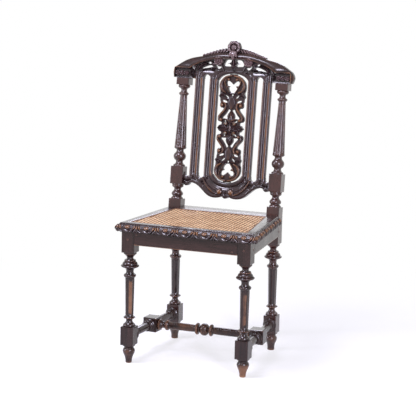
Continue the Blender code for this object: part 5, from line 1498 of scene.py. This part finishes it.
    def splat(self) -> None:
        """Builds the pierced splat, the same on both sides of its two middle lines."""
        high = (1.0, self.splat_stretch)
        (across, up), *edge = self.splat_edge
        outline = np.array([(PAST_MIDDLE, up), (across, up), *smooth(edge, 5), (edge[-1][0], PAST_MIDDLE),
                            (PAST_MIDDLE, PAST_MIDDLE)]) * high
        ring = np.array(self.splat_ring)
        ring = np.vstack((ring, ring[-2:0:-1] * (-1, 1)))
        holes = [smooth(ring, 4, True) * high, smooth(self.splat_bud, 4, True) * high]
        for across, up, long, wide, tilt in self.splat_ovals:
            turn = np.linspace(0, math.tau, 24, endpoint=False)
            x, y = long * np.cos(turn), wide * np.sin(turn)
            lean = math.radians(tilt)
            holes.append(np.column_stack((across + x * math.cos(lean) - y * math.sin(lean),
                                          up + x * math.sin(lean) + y * math.cos(lean))) * high)
        board = Relief(outline, tuple(holes), self.splat_strokes, -3.5, 6.5, pitch=1.0, soft=1.2, middle=0.0)
        piece = Piece("carved_splat")
        piece.add(board.form(), lambda points: back_place(points + (0, 0, self.splat_middle)))
        piece.finish(self.finishes.carved, "centre_splat", rub=raised(4.6, 12.6, 0.38), keen=0.7)


def flower(across: float, up: float, radius: float, back: float, front: float) -> Form:
    """Makes a round flower: an outer ring of five petals, an inner one and a bead.

    Args:
        across: its middle across the chair.
        up: its middle's height.
        radius: its radius.
        back: the depth of its flat back.
        front: the depth of its bead.

    Returns:
        The closed form.
    """
    angles = np.arange(60) * math.tau / 60
    share = np.concatenate(((0.02, 0.5, 0.98), np.linspace(1, 0.02, 26)))[:, None]
    petal, inner = np.abs(np.cos(2.5 * angles)), np.abs(np.sin(2.5 * angles))
    outer_ring = 0.5 + 0.3 * np.sin(math.pi * held((share - 0.5) / 0.5)) * (0.45 + 0.55 * petal)
    inner_ring = 0.62 + 0.26 * np.sin(math.pi * held((share - 0.2) / 0.3)) * (0.5 + 0.5 * inner)
    bead = 0.66 + 0.34 * dome(share / 0.2)
    height = np.where(share > 0.5, outer_ring, np.where(share > 0.2, inner_ring, bead))
    height[:3] = 0.0
    reach = radius * share * (1 - 0.12 * (1 - petal) * held(share * 2 - 1))
    depth = back + (front - back) * height
    return skin(np.stack((across + reach * np.cos(angles), depth, up + reach * np.sin(angles)), axis=2))


@dataclass
class Crest:
    """The crest: hood, frieze blocks, fretwork, leaf sprays and the cartouche."""

    finishes: Finishes
    hood: Line = (
        (0, 522, 0, 500.5), (25, 521.5, 25, 500.5), (50, 519.5, 50, 499.2),
        (70, 515.5, 70, 496), (90, 510.5, 90, 491), (110, 506, 110, 484.5),
        (125, 503, 125, 478), (140, 499.8, 140, 470.5), (150, 497, 150, 463.3),
        (170, 488.8, 170, 463.3), (188, 477.8, 188, 463.3), (201.5, 468.8, 201.5, 463.3),
        (203.5, 466.8, 201.8, 463.3), (209, 458, 201.8, 458), (211.2, 446, 201.8, 446),
        (206, 431, 201.8, 431),
    )
    fret_holes: Runs = (
        ((8.5, 497.5), (25, 497.5), (31.5, 490), (34.5, 483), (30, 477), (9.5, 477),
         (11, 483), (20, 486.8), (11.5, 490)),
        ((43, 473.5), (50, 467.2), (57, 469), (64.5, 479), (61, 480), (54.5, 474.2)),
        ((79, 484), (85, 488.5), (91.5, 485.5), (86, 481.5)),
        ((76, 471.5), (77, 476.5), (86, 476.5), (100, 472), (114, 464.5), (98, 466.5)),
    )
    fret_strokes: tuple[Stroke, ...] = (
        Stroke(((0, 504), (0, 492), (0, 478), (0, 463)), (7, 8, 6, 1.5), 9.0, Tool.VEINED, 2.0),
        Stroke(((3, 476), (13, 483), (24, 487.5)), (2.5, 3.6, 1.5), 7.0),
        Stroke(((34, 462), (38, 470), (43, 480)), (3, 3.5, 3), 6.4),
        Stroke(((62, 480), (72, 484), (84, 491), (100, 490), (112, 484)), (3, 3.6, 3.6, 3, 1.5), 7.0),
        Stroke(((64, 467), (74, 465), (88, 467), (108, 461)), (2.5, 3.6, 3.6, 2), 6.0, Tool.VEINED),
        Stroke(((88, 483), (103, 480), (116, 473), (122, 462), (119, 455)), (3, 5, 6, 5.5, 2), 7.5,
               Tool.VEINED, 1.5),
        Stroke(((66, 480), (78, 477), (92, 479)), (2, 3.5, 1.5), 5.0),
        Stroke(((128, 478), (135, 470), (136, 460)), (2.5, 4, 2.5), 7.0),
    )
    rosette: tuple[float, ...] = (52, 492, 16)
    frieze_ends: tuple[float, float] = (140, 201.5)
    frieze_top: float = 463.0
    spray_start: float = 16.5
    spray_length: float = 94.7
    spray_teeth: int = 9
    cartouche_middle: float = 538.5
    husk_top: float = 527.0

    def build(self) -> None:
        """Builds the whole crest."""
        self.hood_band()
        self.fretwork()
        for side in SIDES:
            self.frieze(side)
            self.spray(side)
        self.cartouche()

    def hood_band(self) -> None:
        """Builds the arched band, which slopes out to its lip."""
        half = smooth(self.hood, 8)
        pairs = np.vstack((half[:0:-1] * (-1, 1, -1, 1), half))
        rings = []
        for outer, inner in zip(pairs[:, :2], pairs[:, 2:]):
            reach = float(np.hypot(*(outer - inner)))
            lip, cove = min(3.6, 0.4 * reach), reach - min(4.0, 0.4 * reach)
            places = [(0, 5), (0.4, 6), (reach / 2, 6), (reach - 0.8, 6), (reach, 5), (reach, -10),
                      (reach - 0.5, -12.4), (reach - 1.5, -14.4), (cove + 0.8, -15.6), (cove, -14.2)]
            places += [(cove + (lip - cove) * math.sin(turn), -14.2 - 10.4 * (1 - math.cos(turn)))
                       for turn in np.linspace(0, math.pi / 2, 14)]
            places += [(lip - 0.2, -25), (lip - 0.9, -25.8), (0.9, -25.8), (0, -25), (0, -8)]
            across, up = (outer - inner) / max(reach, 1e-6)
            rings.append([(inner[0] + across * far, depth, inner[1] + up * far) for far, depth in places])
        piece = Piece("sloping_hood")
        piece.add(skin(np.array(rings)), back_place)
        piece.finish(self.finishes.stained_across, "crest_hood", keen=3.4)

    def fretwork(self) -> None:
        """Builds the pierced board under the hood, with its rosettes and leaves."""
        top = [(min(across, RAIL_END), inner - PLAY) for _, _, across, inner in self.hood[:8]]
        low = [(across, up + PLAY) for across, up in RAIL_TOP]
        outline = np.array([(PAST_MIDDLE, top[0][1]), *top, *low])
        holes = tuple(smooth(hole, 3, True) for hole in self.fret_holes)
        piece = Piece("carved_fretwork")
        board = Relief(outline, holes, self.fret_strokes, -7.0, 5.0)
        piece.add(board.form(), back_place)
        across, up, radius = self.rosette
        for side in (1, -1):
            piece.add(flower(side * across, up, radius, -8.0, -28.5), back_place)
        piece.finish(self.finishes.carved_crest, "crest_fretwork", rub=crest_painted_light(5, 19), keen=0.8)

    def frieze(self, side: int) -> None:
        """Builds the block on a stile, with three florets between two fillets.

        Args:
            side: 1 on the sitter's left, -1 on the right.
        """
        (start, end), low, high = self.frieze_ends, CAP_TOP, self.frieze_top
        outline = np.array(((start, low), (end, low), (end, high), (start, high)))
        strokes = [Stroke(((start, up), (end, up)), (1.8, 1.8), 4.0) for up in (low + 1.9, high - 1.8)]
        strokes.append(Stroke(((141, 438), (146, 446), (143, 457), (150, 460)), (2, 4.5, 3.5, 1.5), 7.0,
                              Tool.VEINED))
        piece = Piece(f"floret_frieze_{SIDES[side]}")
        board = Relief(outline, (), tuple(strokes), -15.0, 14.0)
        piece.add(board.form(), lambda points: back_place(points * (side, 1, 1)))
        for place in range(3):
            piece.add(flower(side * (161.2 + 15.4 * place), 446.5, 8.6, -14.0, -27.5), back_place)
        piece.finish(self.finishes.carved_crest, f"frieze_block_{SIDES[side]}",
                     rub=crest_painted_light(15, 26), keen=0.5)

    def hood_top(self, across: float) -> float:
        """Returns the height of the hood's outer edge."""
        edge = np.array(self.hood)[:12]
        return float(np.interp(across, edge[:, 0], edge[:, 1]))

    def spray_rise(self, share: float) -> float:
        """Returns how high a spray stands on the hood, at a share of its length from the middle."""
        return 15.0 - 10.5 * share

    def spray(self, side: int) -> None:
        """Builds a leaf spray along the hood's top: overlapping leaflets from one rib.

        Args:
            side: 1 on the sitter's left, -1 on the right.
        """
        start, length, teeth = self.spray_start, self.spray_length, self.spray_teeth
        low, high, strokes = [], [], []
        for share in np.arange(teeth * 6 + 1) / (teeth * 6):
            across = start + share * length
            top = self.hood_top(across)
            tooth = 2.6 * abs(math.sin(share * teeth * math.pi)) ** 0.7
            low.append((across, top + PLAY))
            high.append((across, top + self.spray_rise(share) + tooth - 1))
        pitch = length / teeth
        for tooth in range(teeth):
            across = start + pitch * (tooth + 0.5)
            top, rise = self.hood_top(across), self.spray_rise((tooth + 0.5) / teeth)
            foot = min(across + pitch * 0.7, start + length)
            strokes.append(Stroke(
                ((across - pitch * 0.2, top + rise), (across + pitch * 0.2, top + rise * 0.5),
                 (foot, self.hood_top(foot) + 1)), (pitch * 0.34, pitch * 0.46, pitch * 0.3), 7.0))
        piece = Piece(f"leaf_spray_{SIDES[side]}")
        board = Relief(np.array(low + high[::-1]), (), tuple(strokes), -5.0, 5.0)
        piece.add(board.form(), lambda points: back_place(points * (side, 1, 1)))
        piece.finish(self.finishes.carved_crest, f"crest_spray_{SIDES[side]}",
                     rub=crest_painted_light(5, 13), keen=0.8)

    def cartouche(self) -> None:
        """Builds the round cartouche, a raised ring about a swirled boss, and the husk below it."""
        profile = smooth(((0.5, 4), (11, 4), (16.4, 2.6), (19.6, -2), (21.2, -9), (20.9, -15.5),
                          (18.6, -21), (14.8, -23.2), (11.8, -21), (10.6, -17), (9.2, -17.4),
                          (7.6, -21.4), (4.4, -24), (0.02, -24.6)), 4)
        angles = np.arange(96) * math.tau / 96
        radius, depth = profile[:, :1], profile[:, 1:]
        lobes = np.abs(np.sin(4.5 * angles + 0.06 * radius)) ** 0.6 - 0.6
        rib = lobes * held((radius - 9) / 5) * held(-depth / 10)
        swirl = np.sin(3 * angles - radius * 0.5) * held(1 - radius / 10.5) * (depth < 0)
        grown = 1.14 * radius * (1 + 0.05 * (lobes - 0.4) * (radius > 12))
        rings = np.stack((grown * np.cos(angles), depth - 2.4 * rib - 1.8 * swirl,
                          self.cartouche_middle + grown * np.sin(angles)), axis=2)
        piece = Piece("swirled_cartouche")
        piece.add(skin(rings), back_place)
        for lean, long in ((0, 1), (0.62, 0.8), (-0.62, 0.8)):
            piece.add(self.husk_leaf(lean, long), back_place)
        piece.finish(self.finishes.carved_crest, "crest_cartouche", rub=crest_painted_light(8, 25), keen=0.8)

    def husk_leaf(self, lean: float, long: float) -> Form:
        """Makes one curled leaf of the husk that hangs from the cartouche.

        Args:
            lean: how far it leans aside, in radians.
            long: its length as a share of the middle leaf's.

        Returns:
            The closed form.
        """
        rows = smooth(((0, 3, 2.6), (5, 5.4, 4), (12, 6.6, 5.2), (20, 5.6, 5), (27, 3.4, 4),
                       (31, 0.8, 1.4)), 4)
        turn = np.arange(24) * math.tau / 24
        ridge = 1 - 0.24 * np.abs(np.sin(turn)) * np.cos(2 * turn) ** 2
        rings = []
        for down, wide, thick in rows:
            down *= long
            aside = down * math.sin(lean)
            up = self.husk_top - down * math.cos(lean)
            bow = 4.0 * math.sin(math.pi * min(1.0, down / 31))
            rings.append(np.column_stack((aside + wide * ridge * np.cos(turn) * math.cos(lean),
                                          -22.0 - bow - thick * ridge * np.sin(turn),
                                          up + wide * ridge * np.cos(turn) * math.sin(lean))))
        return skin(np.array(rings))


def linear(code: str) -> tuple[float, float, float, float]:
    """Returns a hex sRGB colour as linear red, green, blue and alpha."""
    shares = [int(code[start:start + 2], 16) / 255 for start in (0, 2, 4)]
    red, green, blue = (s / 12.92 if s <= 0.04045 else ((s + 0.055) / 1.055) ** 2.4 for s in shares)
    return red, green, blue, 1.0


def add_node(tree: bpy.types.NodeTree, kind: str, inputs: dict | None = None,
             **settings: object) -> bpy.types.Node:
    """Adds a node with its settings, and sets or links its inputs.

    Args:
        tree: the node tree.
        kind: the shader node's type, such as "Mix".
        inputs: values, output sockets, or nodes that give their first output, by the input's name or number.
        settings: the node's own settings.

    Returns:
        The node.
    """
    node = tree.nodes.new(f"ShaderNode{kind}")
    for name, value in settings.items():
        setattr(node, name, value)
    for name, value in (inputs or {}).items():
        if isinstance(value, bpy.types.Node):
            value = next(socket for socket in value.outputs if socket.enabled)
        if isinstance(value, bpy.types.NodeSocket):
            tree.links.new(value, node.inputs[name])
        else:
            node.inputs[name].default_value = value
    return node


def empty_material(name: str) -> tuple[Material, bpy.types.NodeTree]:
    """Returns a new material and its emptied node tree.

    Args:
        name: the material's name.

    Returns:
        The material and the tree.
    """
    material = bpy.data.materials.new(name)
    material.use_nodes = True
    material.node_tree.nodes.clear()
    return material, material.node_tree


class Grain(Enum):
    """Which way a board's grain runs, as how far its pattern is drawn out along x, y and z."""

    UP = (1.0, 1.0, 0.045)
    ACROSS = (0.045, 1.0, 1.0)
    DEEP = (1.0, 0.045, 1.0)


@dataclass(frozen=True)
class WaxedWood:
    """Stained and waxed hardwood, turned or carved by hand.

    Wax gives it a soft gloss, its hollows are darkened with painted shade, and its proud edges are rubbed to
    a warm brown.
    """

    name: str
    grain: Grain
    dark: str = "120908"
    light: str = "33201d"
    # hollow: painted shade, laid wherever a point's wear is negative, as in the carving's hollows
    hollow: str = "100809"
    worn: str = "66452f"
    bare: str = "93724f"
    roughness: float = 0.3
    coat: float = 0.35
    coat_roughness: float = 0.1
    ior: float = 1.3
    grain_relief: float = 0.12
    streak_width: float = 2.4

    def make(self) -> Material:
        """Returns the material."""
        material, tree = empty_material(self.name)
        place = add_node(tree, "TexCoord").outputs["Object"]
        drawn = add_node(tree, "Mapping", {"Vector": place, "Scale": self.grain.value})
        streaks, broad, clouds = (
            add_node(tree, "TexNoise", {
                "Vector": vector, "Scale": 1 / (size * MM), "Detail": detail, "Roughness": rough})
            for vector, size, detail, rough in (
                (drawn, self.streak_width, 5.0, 0.65), (drawn, 14, 3.0, 0.6), (place, 38, 4.0, 0.6)))
        share = add_node(tree, "Math", {0: streaks, 1: broad}, operation="ADD")
        share = add_node(tree, "MapRange", {"Value": share, "From Min": 0.72, "From Max": 1.32})
        stain = add_node(tree, "Mix", {
            "Factor": share, "A": linear(self.dark), "B": linear(self.light)}, data_type="RGBA")
        wear = add_node(tree, "Attribute", attribute_name="wear").outputs["Fac"]
        broken = add_node(tree, "Math", {0: clouds, 1: 0.5}, operation="SUBTRACT")
        broken = add_node(tree, "Math", {0: broken, 1: 0.5, 2: wear}, operation="MULTIPLY_ADD")
        broken = add_node(tree, "Math", {0: streaks, 1: 0.2, 2: broken}, operation="MULTIPLY_ADD")
        # the last step paints shade into the hollows, mixing in the hollow colour where the wear is negative
        for value, start, full, colour in ((broken, 0.3, 0.6, self.worn), (broken, 0.7, 1.1, self.bare),
                                           (wear, -0.06, -0.4, self.hollow)):
            share = add_node(tree, "MapRange", {
                "Value": value, "From Min": start, "From Max": full}, interpolation_type="SMOOTHSTEP")
            stain = add_node(tree, "Mix", {
                "Factor": share, "A": stain, "B": linear(colour)}, data_type="RGBA")
        rough = add_node(tree, "MapRange", {
            "Value": clouds, "From Min": 0.3, "From Max": 0.7,
            "To Min": self.roughness - 0.06, "To Max": self.roughness + 0.08})
        bump = add_node(tree, "Bump", {
            "Height": streaks, "Strength": self.grain_relief, "Distance": 0.3 * MM})
        shader = add_node(tree, "BsdfPrincipled", {
            "Base Color": stain, "Roughness": rough, "Normal": bump, "IOR": self.ior,
            "Coat Weight": self.coat, "Coat Roughness": self.coat_roughness})
        add_node(tree, "OutputMaterial", {"Surface": shader})
        return material


@dataclass(frozen=True)
class WovenCane:
    """Split rattan cane: glossy skin outwards, honey coloured, with painted shade between the crossings."""

    name: str
    pale: str = "f4d2a2"
    deep: str = "c49e74"
    gap_shade: str = "5e4030"
    gap_shading: float = 0.0
    pitch: float = Seat.cane_pitch
    middle: float = (Seat.cane_front + Seat.cane_rear) / 2 - ORIGIN_DEPTH
    roughness: float = 0.5

    def make(self) -> Material:
        """Returns the material."""
        material, tree = empty_material(self.name)
        place = add_node(tree, "TexCoord").outputs["Object"]
        clouds = add_node(tree, "TexNoise", {
            "Vector": place, "Scale": 1 / (45 * MM), "Detail": 3.0, "Roughness": 0.55})
        fibres = add_node(tree, "TexNoise", {
            "Vector": place, "Scale": 1 / (1.6 * MM), "Detail": 3.0, "Roughness": 0.6})
        share = add_node(tree, "Math", {0: clouds, 1: fibres}, operation="ADD")
        share = add_node(tree, "MapRange", {"Value": share, "From Min": 0.75, "From Max": 1.25})
        colour = add_node(tree, "Mix", {
            "Factor": share, "A": linear(self.deep), "B": linear(self.pale)}, data_type="RGBA")
        level = add_node(tree, "SeparateXYZ", {"Vector": place})
        between = []
        for axis, start in (("X", 0.0), ("Y", self.middle)):
            moved = add_node(tree, "Math", {0: level.outputs[axis], 1: -start * MM}, operation="ADD")
            between.append(add_node(tree, "Math", {0: moved, 1: self.pitch / 2 * MM}, operation="PINGPONG"))
        row = add_node(tree, "Math", {0: between[1], 1: 0.14 * self.pitch * MM}, operation="ADD")
        # painted shade: the gaps between the crossings are darkened towards a dark brown
        hole = add_node(tree, "Math", {0: between[0], 1: row}, operation="MINIMUM")
        hole = add_node(tree, "MapRange", {
            "Value": hole, "From Min": 0.1 * self.pitch * MM,
            "From Max": 0.28 * self.pitch * MM, "To Max": self.gap_shading}, interpolation_type="SMOOTHSTEP")
        colour = add_node(tree, "Mix", {
            "Factor": hole, "A": colour, "B": linear(self.gap_shade)}, data_type="RGBA")
        bump = add_node(tree, "Bump", {"Height": fibres, "Strength": 0.2, "Distance": 0.2 * MM})
        shader = add_node(tree, "BsdfPrincipled", {
            "Base Color": colour, "Roughness": self.roughness, "Normal": bump, "IOR": 1.3})
        add_node(tree, "OutputMaterial", {"Surface": shader})
        return material


@dataclass
class Studio:
    """The pale floor, the white surroundings, the lamps and the camera."""

    frame_width: float = 36.0
    lens: float = 133.05
    distance: float = 4.96469
    azimuth: float = 20.452869
    elevation: float = 10.275585
    roll: float = 1.34772
    aim: tuple[float, float, float] = (-0.001348, -0.011516, 0.492482)
    daylight: float = 0.25

    def build(self) -> None:
        """Builds the studio."""
        self.camera()
        self.surroundings()
        self.floor()
        self.lamp("key", (2.0, -2.2, 1.35), (0.45, 2.0), 100.0)
        self.lamp("fill", (-2.6, -1.6, 1.35), (0.35, 2.0), 60.0)
        self.lamp("top", (-0.7, -1.3, 3.1), (1.1, 0.8), 90.0)
        self.lamp("back", (-0.6, 2.6, 2.2), (1.2, 1.2), 40.0)

    def camera(self) -> None:
        """Places the camera as the photograph was taken."""
        turn, rise, roll = (math.radians(angle) for angle in (self.azimuth, self.elevation, self.roll))
        back = Vector((math.sin(turn) * math.cos(rise), -math.cos(turn) * math.cos(rise), math.sin(rise)))
        right = Vector((math.cos(turn), math.sin(turn), 0.0))
        up = back.cross(right)
        rolled = math.cos(roll) * right + math.sin(roll) * up
        upright = math.cos(roll) * up - math.sin(roll) * right
        data = bpy.data.cameras.new("camera")
        data.lens, data.sensor_width = self.lens, self.frame_width
        data.clip_end = 200.0
        camera = bpy.data.objects.new("camera", data)
        bpy.context.collection.objects.link(camera)
        place = Matrix((rolled, upright, back)).transposed().to_4x4()
        place.translation = Vector(self.aim) + back * self.distance
        camera.matrix_world = place
        bpy.context.scene.camera = camera

    def surroundings(self) -> None:
        """Makes the world white to the eye and in reflections, and a plain soft light otherwise."""
        world = bpy.data.worlds.new("studio")
        world.use_nodes = True
        tree = world.node_tree
        tree.nodes.clear()
        path = add_node(tree, "LightPath")
        seen = add_node(tree, "Math", {
            0: path.outputs["Is Camera Ray"], 1: path.outputs["Is Glossy Ray"]}, operation="MAXIMUM")
        seen = add_node(tree, "Math", {0: seen, 1: path.outputs["Is Transmission Ray"]}, operation="MAXIMUM")
        soft = add_node(tree, "Background", {"Color": linear("f3f2ff"), "Strength": self.daylight})
        white = add_node(tree, "Background", {"Color": linear("ffffff"), "Strength": 1.0})
        both = add_node(tree, "MixShader", {0: seen, 1: soft, 2: white})
        add_node(tree, "OutputWorld", {"Surface": both})
        bpy.context.scene.world = world
        bpy.context.scene.view_settings.view_transform = "Standard"

    def floor(self) -> None:
        """Lays a pale floor, which keeps the chair's shadow and fades to white away from it."""
        builder = bmesh.new()
        bmesh.ops.create_circle(builder, cap_ends=True, segments=96, radius=90.0)
        mesh = bpy.data.meshes.new("studio_floor")
        builder.to_mesh(mesh)
        builder.free()
        material, tree = empty_material("pale_floor")
        place = add_node(tree, "TexCoord").outputs["Object"]
        away = add_node(tree, "VectorMath", {0: place}, operation="LENGTH")
        fade = add_node(tree, "MapRange", {
            "Value": away, "From Min": 0.4, "From Max": 1.6, "To Min": 0.62},
            interpolation_type="SMOOTHSTEP")
        path = add_node(tree, "LightPath")
        seen = add_node(tree, "Math", {
            0: path.outputs["Is Camera Ray"], 1: path.outputs["Is Glossy Ray"]}, operation="MAXIMUM")
        share = add_node(tree, "Math", {0: seen, 1: fade}, operation="MULTIPLY")
        paint = add_node(tree, "BsdfPrincipled", {
            "Base Color": linear("f8f7fa"), "Roughness": 0.9, "Specular IOR Level": 0.1})
        white = add_node(tree, "Emission", {"Color": linear("ffffff"), "Strength": 1.0})
        both = add_node(tree, "MixShader", {0: share, 1: paint, 2: white})
        add_node(tree, "OutputMaterial", {"Surface": both})
        mesh.materials.append(material)
        floor = bpy.data.objects.new("studio_floor", mesh)
        bpy.context.collection.objects.link(floor)

    def lamp(self, name: str, place: tuple[float, float, float], size: tuple[float, float],
             power: float) -> None:
        """Stands a soft lamp that faces the chair, as wide and as high as its size says.

        Args:
            name: its name.
            place: where it stands.
            size: its width and height.
            power: its power in watts.
        """
        data = bpy.data.lights.new(name, "AREA")
        data.shape, data.energy, data.color = "RECTANGLE", power, linear("ebe8ff")[:3]
        data.size, data.size_y = size
        lamp = bpy.data.objects.new(name, data)
        bpy.context.collection.objects.link(lamp)
        lamp.location = place
        lamp.visible_camera = False
        lamp.rotation_euler = (Vector((0, 0, 0.5)) - Vector(place)).to_track_quat("-Z", "Y").to_euler()


def main() -> None:
    """Builds and dresses the chair and its studio."""
    logging.basicConfig(level=logging.INFO, format="%(message)s")
    carving = {"dark": "180e10", "light": "321f1f", "worn": "613f22", "bare": "86633c"}
    finishes = Finishes(
        stained=WaxedWood("waxed_wood_upright", Grain.UP, coat=0.42).make(),
        stained_across=WaxedWood("waxed_wood_across", Grain.ACROSS).make(),
        stained_deep=WaxedWood("waxed_wood_deep", Grain.DEEP).make(),
        rubbed=WaxedWood("rubbed_wax_upright", Grain.UP, "23110f", "3d221d", coat=0.75,
                         grain_relief=0.05).make(),
        carved=WaxedWood("carved_wood_upright", Grain.UP, coat=0.45, **carving).make(),
        carved_across=WaxedWood("carved_wood_across", Grain.ACROSS, roughness=0.26, coat=0.6,
                                **carving).make(),
        carved_deep=WaxedWood("carved_wood_deep", Grain.DEEP, coat=0.45, **carving).make(),
        # the crest's lilac-grey worn and bare colours paint highlights on its foremost carving
        carved_crest=WaxedWood("carved_crest_wood_painted_highlights", Grain.ACROSS, "180e10", "2c1c1d", worn="5a4746",
                               bare="7d6a68", roughness=0.26, coat=0.8).make(),
        plain=WaxedWood("unpolished_wood", Grain.UP, "4a3024", "6a4732", coat=0.0, roughness=0.6).make(),
        polished=WaxedWood("polished_seat_top", Grain.ACROSS, roughness=0.24, coat=0.8, coat_roughness=0.12,
                           ior=1.4, grain_relief=0.08).make(),
        peg=WaxedWood("peg_end_grain", Grain.UP, "2c1e1e", "44312d", roughness=0.4, coat=0.1).make(),
        # the cane's gaps get painted shade at 0.75 of full strength
        cane=WovenCane("woven_rattan", gap_shading=0.75).make(),
        # the binding strip gets darker cane colours, which also paint the shadow line along the cane's edge
        binding=WovenCane("binding_cane", "8a674c", "684a35").make(),
    )
    Legs(finishes).build()
    Stretchers(finishes).build()
    Seat(finishes).build()
    Back(finishes).build()
    Crest(finishes).build()
    for name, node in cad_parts.items():
        if "corner_block" in name:
            node.data.materials.clear()
            node.data.materials.append(finishes.plain)
    Studio().build()


if __name__ == "__main__":
    main()
